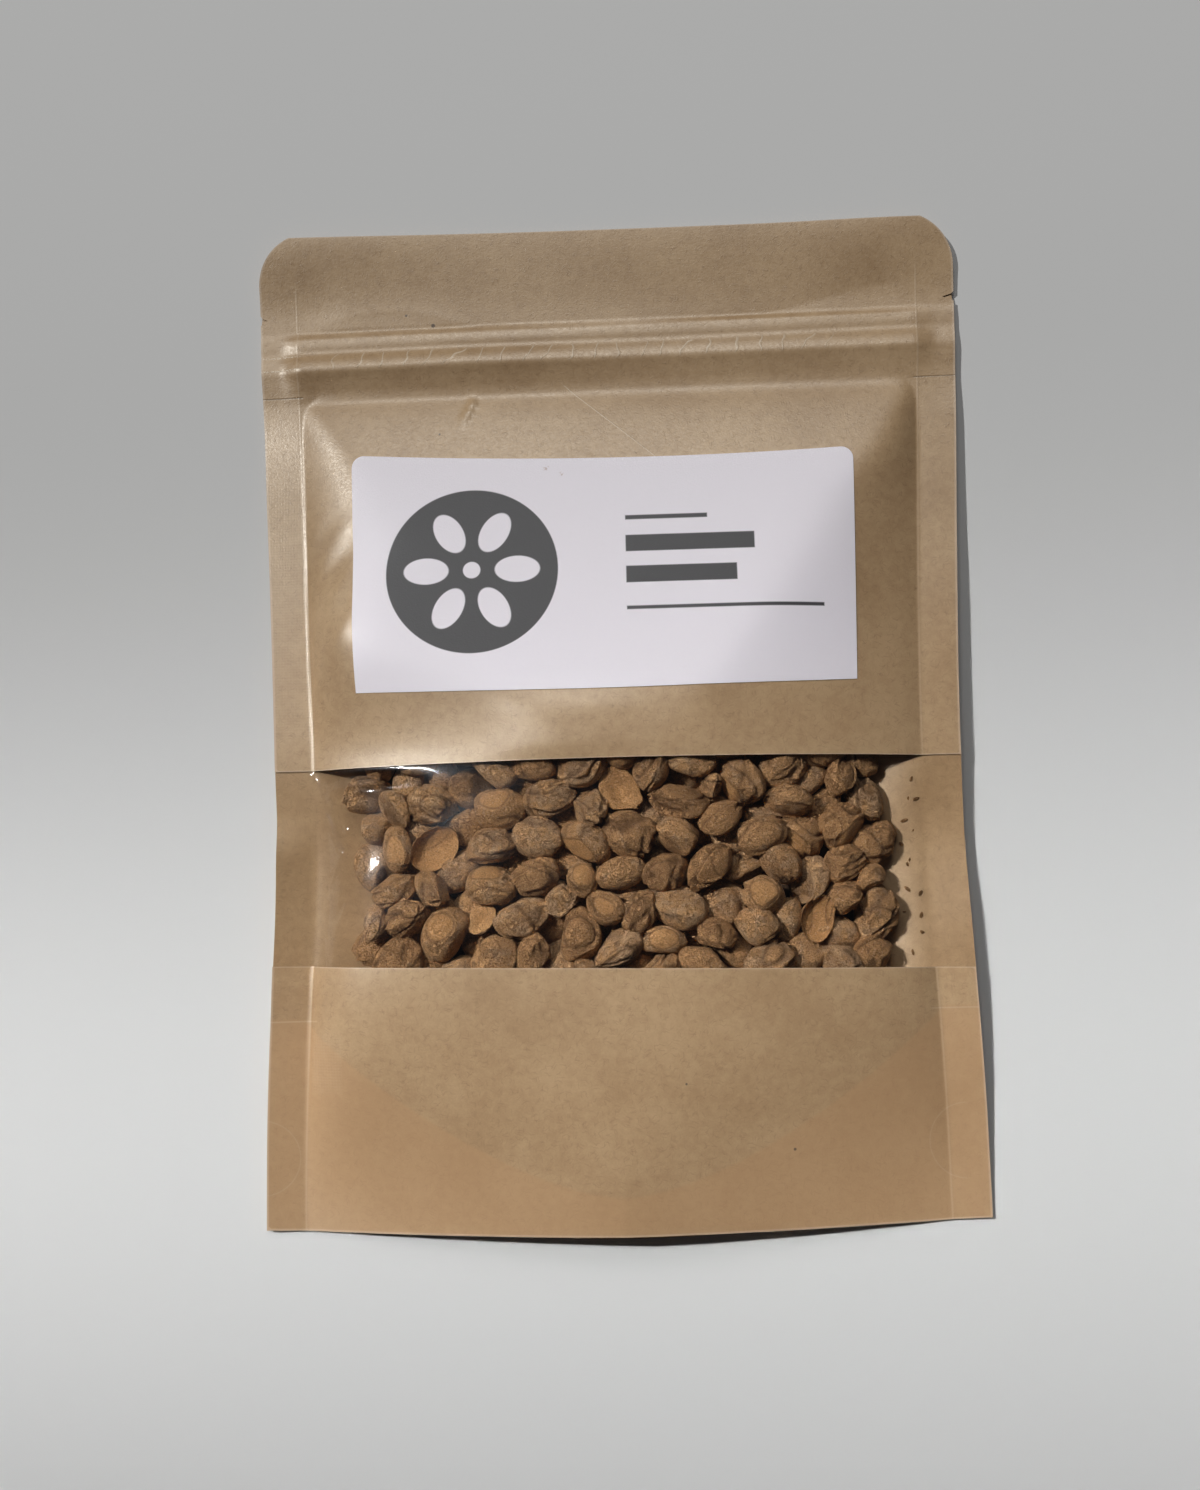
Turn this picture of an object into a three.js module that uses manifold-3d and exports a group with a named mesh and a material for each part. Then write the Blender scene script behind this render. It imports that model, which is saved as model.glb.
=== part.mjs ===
// A kraft-paper stand-up pouch with a clear window strip, filled with dried beans and
// lying on its back. Millimetres, +Z up. The pouch's top edge points to +Y, its window
// faces +Z and its back panel rests on z = 0. The origin is the middle of its footprint.
//
// Every sheet of the pouch is worked out from two height functions, frontHeight and
// backHeight. Their arguments are x, across the pouch, and drop, the distance down from
// its top edge.

import * as THREE from 'three';
import { mergeVertices } from 'three/addons/utils/BufferGeometryUtils.js';
import Module from 'manifold-3d';

const { lerp, clamp, smoothstep } = THREE.MathUtils;
const wasm = await Module();
wasm.setup();

// ---- Outline of the pouch

const topHalfWidth = 70.6;
const bottomHalfWidth = 69.8;
const sideLength = 198.3;
const bottomBow = 1.4;
const pouchLength = sideLength + bottomBow;
const cornerRadius = 11;
const cornerCentreDrop = 10;
const sealWidth = 7.5;
// The filling draws each side in: how far down, and by how much.
const waist = { left: { drop: 127, depth: 3.7 }, right: { drop: 114, depth: 3.4 } };
// The torn notches: the mouth's height, each one's depth, and its ragged inner end as
// shares of that height and depth.
const notch = { drop: 16.6, height: 1.5, left: 1.6, right: 2.6 };
const notchEnd = { top: 0.15, low: -0.2, lowDepth: 0.8, foot: -0.4 };

// ---- Heights of the front and back panels above the table

const sheetThickness = 0.9;
const chamberDrop = 34.3;
// The front lifts quickly along the chamber's upper edge, then rises in one long slope.
// The ease rounds the bend where it starts.
const lift = { height: 0.8, reach: 3, ease: 1.5 };
const slope = { rise: 0.22, length: 80, power: 4.5 };
const crestRise = lift.height + slope.rise * slope.length * (1 - 1 / slope.power);
const crestHeight = 17.1;
const crestFall = 9.5;
const crestFallPower = 2;
// The crease where the top slope meets a side slope is tight at the corner and rounder below.
const hipSharpness = [[chamberDrop, 16], [60, 7]];
// Beside each seal a share of the height comes as a tight roll, and the rest as a slow
// curve. The share changes down the pouch: the label stiffens the panel.
const roll = {
  left: { reach: 5, shares: [[45, 0], [65, 0.1], [85, 0.7], [108, 0.1], [150, 0.8]] },
  right: { reach: 10, shares: [[45, 0.25], [65, 0], [100, 0.05], [150, 0.35]] },
};
const fullness = { upper: 2, bottom: 1.2 };
const flatBackHalfWidth = 42;
const backRiseLength = 15;
// Height of the side edges, from the top corners to the bottom ones.
const edgeStations = [
  [0, 1.8],
  [chamberDrop, 2.0],
  [108, 4.8],
  [128, 3.2],
  [152, 4.2],
  [sideLength, 0.65],
];
// How far each seal's outer edge curls up from its inner one, down the pouch.
const sealCurl = {
  left: [
    [30, -0.2],
    [42, -0.8],
    [58, -0.3],
    [118, 0.4],
    [128, 2.4],
    [144, 2],
    [160, 1],
    [sideLength, 1],
  ],
  right: [
    [30, 0],
    [42, 0.65],
    [70, 0.5],
    [105, -0.3],
    [138, 1],
    [158, 0.2],
    [sideLength, 0.35],
  ],
};
const curlStart = { from: 18, to: 33 };
// Gentle bows of the flat top, in both panels, which are gone at a drop below the zip.
const bowFade = { zip: 17, start: 20 };
const bows = [
  { middle: -69, half: 34, atTop: 1.8, atZip: -0.6, gone: 50 },
  { middle: 59, half: 18, atTop: 1.0, atZip: -0.5, gone: 32 },
  { middle: 20, half: 42, atTop: -0.1, atZip: -1.0, gone: 55 },
];
// Section of the press-to-close strip, from its upper flange to its lower one.
const zipDrop = 19.2;
const zipTilt = -0.012;
const zipSection = [
  [0, 0],
  [0.7, 0.4],
  [2.6, 0.6],
  [4.2, 0.5],
  [6.2, 1.2],
  [8.0, 1.5],
  [10.0, 0.9],
  [12.5, 0.3],
  [14.6, 0],
];
const crushedZip = 0.35;

// ---- Window, label, beans and gusset

const windowDrop = 109.6;
const windowHeight = 39.5;
const windowSkew = 0.023;
const backPanel = 0.3;
const gap = 0.3;
const film = { below: 0.02, thickness: 0.27 };
const label = { width: 98.4, height: 48, x: -1.3, drop: 47.4, thickness: 0.3, corner: 2.4, skew: 0.8 };
const bean = { length: 9.6, width: 7.4, overlap: 0.86, pitchX: 8.2, pitchY: 6.6, dip: 2.6 };
const unevenBean = { rowTurn: 1.9, columnTurn: 2.7, shiftX: 1.1, shiftY: 0.9, sink: 0.9 };
const heap = { left: -49, right: 52, unevenLeft: 1.6, unevenRight: 0.9, waves: 2.5 };
const gusset = { depth: 28, halfWidth: 60, roofSheets: 0.9, tip: 0.3, power: 0.8 };

// ---- The pouch's shape as functions

// The height at a place along a row of stations. The curve shapes each rise or fall.
function heightAlong(stations, at, curve) {
  const last = stations.length - 1;
  const found = stations.findIndex(([stop]) => stop > at);
  const next = found < 0 ? last : Math.max(found, 1);
  const [from, low] = stations[next - 1];
  const [to, high] = stations[next];
  return lerp(low, high, curve(clamp((at - from) / (to - from), 0, 1)));
}

function straight(stations, at) {
  return heightAlong(stations, at, (part) => part);
}

function eased(stations, at) {
  return heightAlong(stations, at, (part) => smoothstep(part, 0, 1));
}

function halfWidth(drop, side) {
  const { drop: narrowest, depth } = side < 0 ? waist.left : waist.right;
  const above = drop < narrowest;
  const span = above ? narrowest : sideLength - narrowest;
  const draw = Math.cos((Math.PI / 2) * Math.min(1, Math.abs(drop - narrowest) / span)) ** 2;
  const open = above ? topHalfWidth : bottomHalfWidth;
  const straightEdge = lerp(open, topHalfWidth - depth, draw);
  const aboveCentre = Math.max(0, cornerCentreDrop - drop);
  return straightEdge - cornerRadius + Math.sqrt(cornerRadius ** 2 - aboveCentre ** 2);
}

// Height of the front's middle over the chamber's upper edge.
function rise(drop) {
  const fromEdge = drop - chamberDrop;
  const below = (fromEdge + Math.hypot(fromEdge, lift.ease)) / 2;
  const part = Math.min(1, below / slope.length);
  const longSlope = slope.rise * slope.length * (part - part ** slope.power / slope.power);
  return lift.height * (1 - Math.exp(-below / lift.reach)) + longSlope;
}

function crest(drop) {
  const start = chamberDrop + slope.length;
  const part = clamp((drop - start) / (sideLength - start), 0, 1);
  return crestHeight - crestFall * part ** crestFallPower;
}

function sideProfile(x, drop) {
  const side = Math.sign(x) || 1;
  const towardBottom = smoothstep(drop, windowDrop + windowHeight, sideLength);
  const full = lerp(fullness.upper, fullness.bottom, towardBottom);
  const reach = halfWidth(drop, side) - sealWidth;
  const inward = Math.max(0, 1 - Math.abs(x) / reach);
  const { reach: rollReach, shares } = side < 0 ? roll.left : roll.right;
  const share = eased(shares, drop) * (1 - towardBottom);
  const rolled = 1 - Math.exp((-inward * reach) / rollReach);
  return lerp(1 - (1 - inward) ** full, rolled, share);
}

function bow(x, drop) {
  let height = 0;
  for (const { middle, half, atTop, atZip, gone } of bows) {
    const full = lerp(atTop, atZip, smoothstep(drop, 0, bowFade.zip));
    const left = 1 - smoothstep(drop, bowFade.start, gone);
    height += full * left * Math.exp(-(((x - middle) / half) ** 2));
  }
  return height;
}

function curl(x, drop) {
  const outward = 1 - (halfWidth(drop, x) - Math.abs(x)) / sealWidth;
  const height = eased(x < 0 ? sealCurl.left : sealCurl.right, drop);
  return height * clamp(outward, 0, 1) * smoothstep(drop, curlStart.from, curlStart.to);
}

function zipRelief(x, drop) {
  const down = drop - zipDrop - zipTilt * x;
  if (down < 0) return 0;
  const inSeal = Math.abs(x) > halfWidth(drop, x) - sealWidth;
  return straight(zipSection, down) * (inSeal ? crushedZip : 1);
}

function frontHeight(x, drop) {
  const edge = eased(edgeStations, Math.max(0, drop));
  const alongPouch = 1 - rise(drop) / crestRise;
  const acrossPouch = 1 - sideProfile(x, drop);
  const sharpness = eased(hipSharpness, drop);
  const hollow = (alongPouch ** sharpness + acrossPouch ** sharpness) ** (1 / sharpness);
  const swell = Math.max(0, 1 - hollow);
  return edge + (crest(drop) - edge) * swell + bow(x, drop) + curl(x, drop) + zipRelief(x, drop);
}

function backHeight(x, drop) {
  const edge = eased(edgeStations, Math.max(0, drop)) - sheetThickness;
  const seal = halfWidth(drop, x) - sealWidth;
  const acrossPouch = smoothstep(Math.abs(x), flatBackHalfWidth, seal);
  const alongPouch = 1 - smoothstep(drop, chamberDrop, chamberDrop + backRiseLength);
  return Math.max(0, edge * Math.max(acrossPouch, alongPouch) + bow(x, drop) + curl(x, drop));
}

function windowEdge(x, part) {
  return windowDrop + part * (windowHeight + windowSkew * x);
}

// ---- Building a sheet or slab from a grid of columns and rows

// place(column, row) gives [x, drop]; topAt and bottomAt give the two heights there.
function slab(columns, rows, place, topAt, bottomAt) {
  const positions = [];
  const index = [];
  const layer = columns * rows;
  for (const heightAt of [topAt, bottomAt]) {
    for (let row = 0; row < rows; row += 1) {
      for (let column = 0; column < columns; column += 1) {
        const [x, drop] = place(column, row);
        positions.push(x, pouchLength / 2 - drop, heightAt(x, drop));
      }
    }
  }
  const quad = (a, b, c, d, mirrored) => {
    if (mirrored) index.push(a, b, c, a, c, d);
    else index.push(a, b, d, b, c, d);
  };
  for (let row = 0; row + 1 < rows; row += 1) {
    for (let column = 0; column + 1 < columns; column += 1) {
      const a = row * columns + column;
      const b = a + columns;
      const left = 2 * column + 1 < columns - 1;
      quad(a, b, b + 1, a + 1, left);
      quad(layer + a, layer + a + 1, layer + b + 1, layer + b, left);
    }
    const west = row * columns;
    const east = west + columns - 1;
    quad(west, layer + west, layer + west + columns, west + columns, true);
    quad(east, east + columns, layer + east + columns, layer + east, true);
  }
  for (let column = 0; column + 1 < columns; column += 1) {
    const south = layer - columns + column;
    quad(column, column + 1, layer + column + 1, layer + column, true);
    quad(south, layer + south, layer + south + 1, south + 1, true);
  }
  const geometry = new THREE.BufferGeometry();
  geometry.setAttribute('position', new THREE.Float32BufferAttribute(positions, 3));
  geometry.setIndex(index);
  return geometry;
}

function toSolid(geometry) {
  const bare = geometry.clone();
  bare.deleteAttribute('normal');
  bare.deleteAttribute('uv');
  const merged = mergeVertices(bare);
  const vertProperties = new Float32Array(merged.attributes.position.array);
  const triVerts = new Uint32Array(merged.index.array);
  return new wasm.Manifold(new wasm.Mesh({ numProp: 3, vertProperties, triVerts }));
}

function toGeometry(solid) {
  const { vertProperties, triVerts } = solid.getMesh();
  const geometry = new THREE.BufferGeometry();
  geometry.setAttribute('position', new THREE.BufferAttribute(vertProperties, 3));
  geometry.setIndex(new THREE.BufferAttribute(triVerts, 1));
  geometry.computeVertexNormals();
  return geometry;
}

function evenSteps(from, to, steps) {
  return Array.from({ length: steps }, (_, step) => lerp(from, to, step / steps));
}

// ---- The pouch: front and back panels, gusset and seals as one solid

const labelColumns = 12;
const outerColumns = 4;
const pouchColumns = labelColumns + 2 * outerColumns + 1;
const windowRows = 8;
// Share of the way from the label's side to the seal of the column between them.
const betweenColumn = 0.6;

function pouchColumn(column, drop) {
  const inner = clamp(column - outerColumns, 0, labelColumns);
  const x = label.x + label.width * (inner / labelColumns - 0.5);
  const outward = Math.max(outerColumns - column, column - outerColumns - labelColumns);
  if (outward <= 0) return x;
  const side = Math.sign(x);
  const edge = halfWidth(drop, side);
  const seal = edge - sealWidth;
  const stops = [Math.abs(x), lerp(Math.abs(x), seal, betweenColumn), seal - gap, seal + gap, edge];
  return side * stops[outward];
}

function pouchRows() {
  const firstAngle = Math.acos(cornerCentreDrop / cornerRadius);
  const corner = evenSteps(firstAngle, Math.PI / 2, 5);
  const zip = zipSection.map(([offset]) => zipDrop + offset);
  return [
    ...corner.map((angle) => cornerCentreDrop - cornerRadius * Math.cos(angle)),
    ...evenSteps(cornerCentreDrop, zipDrop, 3),
    ...zip.slice(0, -1),
    ...evenSteps(zip.at(-1), label.drop, 4),
    ...evenSteps(label.drop, label.drop + label.height, 6),
    ...evenSteps(label.drop + label.height, windowDrop + windowHeight, 6),
    ...evenSteps(windowDrop + windowHeight, sideLength, 6),
    sideLength,
  ];
}

function bowed(x, drop) {
  const nearBottom = smoothstep(drop, sideLength - gusset.depth, sideLength);
  return drop + bottomBow * nearBottom * (1 - (x / bottomHalfWidth) ** 2);
}

function pouchBlank() {
  const rows = pouchRows();
  const place = (column, row) => {
    const x = pouchColumn(column, rows[row]);
    return [x, bowed(x, rows[row])];
  };
  return slab(pouchColumns, rows.length, place, frontHeight, backHeight);
}

// A grid point of the window strip: the columns are the pouch's own, and part runs from
// 0 at the window's upper edge to 1 at its lower edge, less the clearance.
function windowPoint(column, part, clearance) {
  const x = pouchColumn(column, windowDrop + part * windowHeight);
  return [x, lerp(windowEdge(x, 0) + clearance, windowEdge(x, 1) - clearance, part)];
}

// The chamber behind the window, down to the inner face of the back panel. It runs out
// past the side edges, where the film alone lies over the back panel.
function windowCavity() {
  const place = (column, row) => {
    const [x, drop] = windowPoint(column, row / (windowRows - 1), 0);
    const outermost = column === 0 || column === pouchColumns - 1;
    return [outermost ? x + Math.sign(x) : x, drop];
  };
  return slab(pouchColumns, windowRows, place, () => 2 * crestHeight, innerBack);
}

function innerBack(x, drop) {
  return backHeight(x, drop) + backPanel;
}

// The space between the gusset's two leaves, open at the bottom edge.
function gussetPocket() {
  const columns = 13;
  const rows = 7;
  const start = sideLength - gusset.depth;
  const reach = gusset.depth + 2 * bottomBow;
  const place = (column, row) => {
    const across = (2 * column) / (columns - 1) - 1;
    return [across * gusset.halfWidth, start + (reach * row) / (rows - 1)];
  };
  const roof = (x, drop) => {
    const open = clamp((drop - start) / gusset.depth, 0, 1) ** gusset.power;
    const highest = frontHeight(x, Math.min(drop, sideLength)) - gusset.roofSheets;
    return lerp(innerBack(x, drop) + gusset.tip, highest, open);
  };
  return slab(columns, rows, place, roof, innerBack);
}

function tearNotch(side) {
  const depth = side < 0 ? notch.left : notch.right;
  const edge = side * halfWidth(notch.drop, side);
  const outline = new THREE.Shape();
  outline.moveTo(edge + side, notch.height);
  outline.lineTo(edge - side * depth, notch.height * notchEnd.top);
  outline.lineTo(edge - side * depth * notchEnd.lowDepth, notch.height * notchEnd.low);
  outline.lineTo(edge + side, notch.height * notchEnd.foot);
  const cutter = new THREE.ExtrudeGeometry(outline, { depth: crestHeight, bevelEnabled: false });
  return cutter.translate(0, pouchLength / 2 - notch.drop, -crestHeight / 2);
}

function pouchGeometry() {
  const cuts = [windowCavity(), gussetPocket(), tearNotch(-1), tearNotch(1)];
  const cut = cuts.reduce((solid, tool) => solid.subtract(toSolid(tool)), toSolid(pouchBlank()));
  return toGeometry(cut);
}

// ---- The clear film, the beans behind it and the label on the front panel

function filmTop(x, drop) {
  return frontHeight(x, drop) - film.below;
}

function filmUnderside(x, drop) {
  return filmTop(x, drop) - film.thickness;
}

function filmGeometry() {
  const place = (column, row) => windowPoint(column, row / (windowRows - 1), gap);
  return slab(pouchColumns, windowRows, place, filmTop, filmUnderside);
}

// Rows of beans, each row set half a bean along and each bean a little out of line.
function beanCentres() {
  const centres = [];
  const rows = Math.ceil(windowHeight / bean.pitchY) + 1;
  const columns = Math.ceil((heap.right - heap.left) / bean.pitchX) + 1;
  for (let row = 0; row < rows; row += 1) {
    for (let column = 0; column < columns; column += 1) {
      const turn = row * unevenBean.rowTurn + column * unevenBean.columnTurn;
      centres.push({
        x: heap.left + (column + (row % 2) / 2) * bean.pitchX + unevenBean.shiftX * Math.sin(turn),
        drop: windowDrop + row * bean.pitchY + unevenBean.shiftY * Math.cos(2 * turn),
        turn,
        sink: unevenBean.sink * (1 + Math.sin(3 * turn)),
      });
    }
  }
  return centres;
}

const beans = beanCentres();

function heapHeight(x, drop) {
  const ceiling = filmUnderside(x, drop) - 2 * gap;
  const floor = innerBack(x, drop) + 3 * gap;
  let dip = bean.dip;
  for (const { x: beanX, drop: beanDrop, turn, sink } of beans) {
    const [dx, dy] = [x - beanX, drop - beanDrop];
    const lengthwise = (dx * Math.cos(turn) + dy * Math.sin(turn)) / (bean.length / 2);
    const crosswise = (dy * Math.cos(turn) - dx * Math.sin(turn)) / (bean.width / 2);
    const inside = 1 - (lengthwise ** 2 + crosswise ** 2) * bean.overlap ** 2;
    if (inside > 0) dip = Math.min(dip, sink + bean.dip * (1 - Math.sqrt(inside)));
  }
  return Math.max(floor, ceiling - dip);
}

// The heap's bumpy top comes from a fine grid on the table, and its underside is where
// the back panel's own coarse grid cuts that off.
function heapGeometry() {
  const columns = 56;
  const rows = 22;
  const fine = (column, row) => {
    const part = row / (rows - 1);
    const ripple = Math.sin(2 * Math.PI * heap.waves * part);
    const west = heap.left + heap.unevenLeft * ripple;
    const east = heap.right + heap.unevenRight * ripple;
    const x = lerp(west, east, column / (columns - 1));
    return [x, lerp(windowEdge(x, 0) + gap, windowEdge(x, 1) - gap, part)];
  };
  const coarse = (column, row) => windowPoint(column, row / (windowRows - 1), 0);
  const floor = (x, drop) => innerBack(x, drop) + gap;
  const bumpy = slab(columns, rows, fine, heapHeight, () => 0);
  const chamber = slab(pouchColumns, windowRows, coarse, () => 2 * crestHeight, floor);
  return toGeometry(toSolid(bumpy).intersect(toSolid(chamber)));
}

// The label's upper corners are rounded and its lower corners are cut square. Its upper
// edge is cut a little askew, so its left side is the taller one.
function labelOutline() {
  const { corner, skew } = label;
  const west = label.x - label.width / 2;
  const east = label.x + label.width / 2;
  const top = pouchLength / 2 - label.drop;
  const foot = top - label.height;
  const outline = new THREE.Shape();
  outline.moveTo(west, foot);
  outline.lineTo(east, foot);
  outline.lineTo(east, top - skew - corner);
  outline.absarc(east - corner, top - skew - corner, corner, 0, Math.PI / 2);
  outline.absarc(west + corner, top + skew - corner, corner, Math.PI / 2, Math.PI);
  const depth = 2 * crestHeight;
  return new THREE.ExtrudeGeometry(outline, { depth, bevelEnabled: false, curveSegments: 4 });
}

function labelGeometry() {
  const rows = 7;
  const margin = 2 * label.skew;
  const place = (column, row) => {
    const across = column / labelColumns - 0.5;
    const down = row / (rows - 1);
    const x = label.x + (label.width + margin) * across;
    return [x, label.drop - margin + (label.height + 2 * margin) * down];
  };
  const underside = (x, drop) => frontHeight(x, drop) + gap;
  const face = (x, drop) => underside(x, drop) + label.thickness;
  const sheet = toSolid(slab(labelColumns + 1, rows, place, face, underside));
  return toGeometry(sheet.intersect(toSolid(labelOutline())));
}

// ---- The parts

const finishes = {
  kraftPaper: { color: 0xb08a60, roughness: 0.6, metalness: 0 },
  clearFilm: { color: 0xe8ecee, roughness: 0.1, metalness: 0, transparent: true, opacity: 0.3 },
  driedBean: { color: 0x9a6d42, roughness: 0.75, metalness: 0 },
  labelPaper: { color: 0xe9e7ea, roughness: 0.45, metalness: 0 },
};

function part(name, geometry, finish) {
  const mesh = new THREE.Mesh(geometry, new THREE.MeshStandardMaterial(finish));
  mesh.name = name;
  return mesh;
}

const pouch = new THREE.Group();
pouch.add(
  part('pouch', pouchGeometry(), finishes.kraftPaper),
  part('window_film', filmGeometry(), finishes.clearFilm),
  part('natto_beans', heapGeometry(), finishes.driedBean),
  part('label', labelGeometry(), finishes.labelPaper),
);

export default pouch;
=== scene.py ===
"""Looks of a kraft-paper window pouch of freeze-dried soybeans that lies on its back."""
import math
import bmesh
import bpy
import numpy as np
from mathutils import Matrix, Vector


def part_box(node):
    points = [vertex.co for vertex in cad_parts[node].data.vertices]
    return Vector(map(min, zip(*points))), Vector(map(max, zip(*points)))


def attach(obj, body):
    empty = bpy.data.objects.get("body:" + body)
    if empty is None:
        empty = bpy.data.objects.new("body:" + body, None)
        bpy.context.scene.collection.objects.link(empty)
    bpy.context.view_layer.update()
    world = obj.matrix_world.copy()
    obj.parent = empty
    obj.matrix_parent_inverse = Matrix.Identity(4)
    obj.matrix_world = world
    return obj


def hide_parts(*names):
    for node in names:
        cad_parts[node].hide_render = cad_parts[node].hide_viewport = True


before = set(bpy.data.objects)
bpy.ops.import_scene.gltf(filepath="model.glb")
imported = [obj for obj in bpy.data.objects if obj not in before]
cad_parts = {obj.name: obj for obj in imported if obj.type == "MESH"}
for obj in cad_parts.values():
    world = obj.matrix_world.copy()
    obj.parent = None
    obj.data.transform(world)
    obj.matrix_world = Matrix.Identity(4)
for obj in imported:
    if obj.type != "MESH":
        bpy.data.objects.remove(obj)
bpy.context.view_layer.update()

# ---- Kraft front panel
# One sheet of brown kraft paper laminated to a sealing film, in two pieces above and
# below the window. It is heat-sealed to the back panel down both sides, and the beans
# push it up between the seals. The press-to-close strip behind it shows as ribs.

MM = 0.001
POUCH_LOW, POUCH_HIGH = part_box("pouch")
TOP_Y = POUCH_HIGH.y / MM
POUCH_LENGTH = (POUCH_HIGH.y - POUCH_LOW.y) / MM
# The bottom edge bows outward in its middle, and the bow fades this far up the panel.
BOTTOM_BOW = 1.4
BOTTOM_BOW_REACH = 28
SIDE_LENGTH = POUCH_LENGTH - BOTTOM_BOW
TOP_HALF_WIDTH = 70.6
BOTTOM_HALF_WIDTH = 69.8
CORNER_RADIUS = 11
CORNER_CENTRE_DROP = 10
SEAL_WIDTH = 7.5
# Where the pouch's half width is under this, at the rounded corners, the seals narrow too.
FULL_SEAL_HALF_WIDTH = 66
PAPER = 0.22
# Where the filling draws each side in most: how far down, and by how much.
WAIST = {-1: (127, 3.7), 1: (114, 3.4)}
# Each tear notch: how far down it is, the height of its mouth, and how deep it cuts in.
NOTCH_DROP = 16.6
NOTCH_HEIGHT = 1.5
NOTCH_DEPTH = {-1: 1.6, 1: 2.6}

CHAMBER_DROP = 34.3
# The front lifts quickly along the chamber's top edge, then rises in one long slope. The
# ease rounds the bend where it starts.
LIFT = 0.8
LIFT_REACH = 3
TOP_EDGE_EASE = 1.5
SLOPE = 0.22
SLOPE_LENGTH = 80
SLOPE_POWER = 4.5
CREST_FALL = 9.5
CREST_FALL_POWER = 2
# The crease where the top slope meets a side slope is tight at the corner and rounder below.
HIP_SHARPNESS = [(CHAMBER_DROP, 16), (60, 7)]
# Beside each seal a share of the height comes as a tight roll, and the rest as a slow curve.
# The share changes down the pouch: the label stiffens the panel, and the window doesn't.
ROLL_SHARE = {
    -1: [(45, 0), (65, 0.1), (85, 0.7), (108, 0.1), (150, 0.8)],
    1: [(45, 0.25), (65, 0), (100, 0.05), (150, 0.35)],
}
ROLL_REACH = {-1: 5, 1: 10}
# Part of the way from a seal to the middle in which the bend at the seal is rounded.
SIDE_EASE = 0.004
FULLNESS = 2
FULLNESS_AT_BOTTOM = 1.2
FLAT_BACK_HALF_WIDTH = 42
BACK_RISE_LENGTH = 15
EDGE_HEIGHTS = [
    (0, 1.8), (CHAMBER_DROP, 2), (108, 4.8), (128, 3.2), (152, 4.2), (SIDE_LENGTH, 0.65),
]
# How far each seal's outer edge curls up from its inner one, down the pouch.
SEAL_CURL = {
    -1: [(30, -0.2), (42, -0.8), (58, -0.3), (118, 0.4), (128, 2.4), (144, 2), (160, 1), (SIDE_LENGTH, 1)],
    1: [(30, 0), (42, 0.65), (70, 0.5), (105, -0.3), (138, 1), (158, 0.2), (SIDE_LENGTH, 0.35)],
}
SEAL_CURL_STARTS = (18, 33)
WINDOW_DROP = 109.6
WINDOW_HEIGHT = 39.5
WINDOW_SKEW = 0.023

ZIP_DROP = 19.2
ZIP_TILT = -0.012
# The strip's section: how far down it, and how proud of the paper.
ZIP_SECTION = [
    (0, 0), (0.7, 0.4), (2.6, 0.6), (4.2, 0.5), (6.2, 1.2), (8, 1.5), (10, 0.9), (12.5, 0.3), (14.6, 0),
]
ZIP_ROUNDING = 0.5
# The side seals crush the strip to this share of its height, from just inside each seal.
CRUSHED_ZIP = 0.35
ZIP_CRUSH_START = 1
ZIP_CRUSH_LENGTH = 5
# The strip stands prouder at its left, and evens out between these places across.
ZIP_PROUDER_ON_LEFT = 0.5
ZIP_EVENS_OUT = (-35, 10)


def smooth(at, low, high):
    part = np.clip((at - low) / (high - low), 0, 1)
    return part * part * (3 - 2 * part)


def hump(height, at, start, full, ebb, gone):
    """A height that comes in from start to full, and goes out again from ebb to gone."""
    return height * smooth(at, start, full) * (1 - smooth(at, ebb, gone))


def eased(stations, at):
    height = np.full(np.shape(at), float(stations[0][1]))
    for (start, low), (stop, high) in zip(stations, stations[1:]):
        height = np.where(at >= start, low + (high - low) * smooth(at, start, stop), height)
    return height


def half_width(drop, side):
    """Half the pouch's width at a drop below its top edge, on the side given by a sign."""
    left = side < 0
    narrowest = np.where(left, WAIST[-1][0], WAIST[1][0])
    depth = np.where(left, WAIST[-1][1], WAIST[1][1])
    above = drop < narrowest
    span = np.where(above, narrowest, SIDE_LENGTH - narrowest)
    draw = np.cos(math.pi / 2 * np.minimum(1, abs(drop - narrowest) / span)) ** 2
    open_width = np.where(above, TOP_HALF_WIDTH, BOTTOM_HALF_WIDTH)
    straight_edge = open_width + (TOP_HALF_WIDTH - depth - open_width) * draw
    above_centre = np.clip(CORNER_CENTRE_DROP - drop, 0, CORNER_RADIUS)
    return straight_edge - CORNER_RADIUS + np.sqrt(CORNER_RADIUS**2 - above_centre**2)


def softened(part, ease):
    """The same run from 0 to 1, with a bend in place of the kink at its start."""
    return np.minimum((np.hypot(part, ease) - ease) / (math.hypot(1, ease) - ease), 1)


def rise(drop):
    """Height of the front's middle over the chamber's top edge."""
    from_edge = drop - CHAMBER_DROP
    below = (from_edge + np.hypot(from_edge, TOP_EDGE_EASE)) / 2
    part = np.minimum(below / SLOPE_LENGTH, 1)
    long_slope = SLOPE * SLOPE_LENGTH * (part - part**SLOPE_POWER / SLOPE_POWER)
    return LIFT * (1 - np.exp(-below / LIFT_REACH)) + long_slope


CREST_DROP = CHAMBER_DROP + SLOPE_LENGTH
CREST_RISE = LIFT + SLOPE * SLOPE_LENGTH * (1 - 1 / SLOPE_POWER)
CREST_HEIGHT = 17.1


def crest(drop):
    part = np.clip((drop - CREST_DROP) / (SIDE_LENGTH - CREST_DROP), 0, 1)
    return CREST_HEIGHT - CREST_FALL * part**CREST_FALL_POWER


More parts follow.
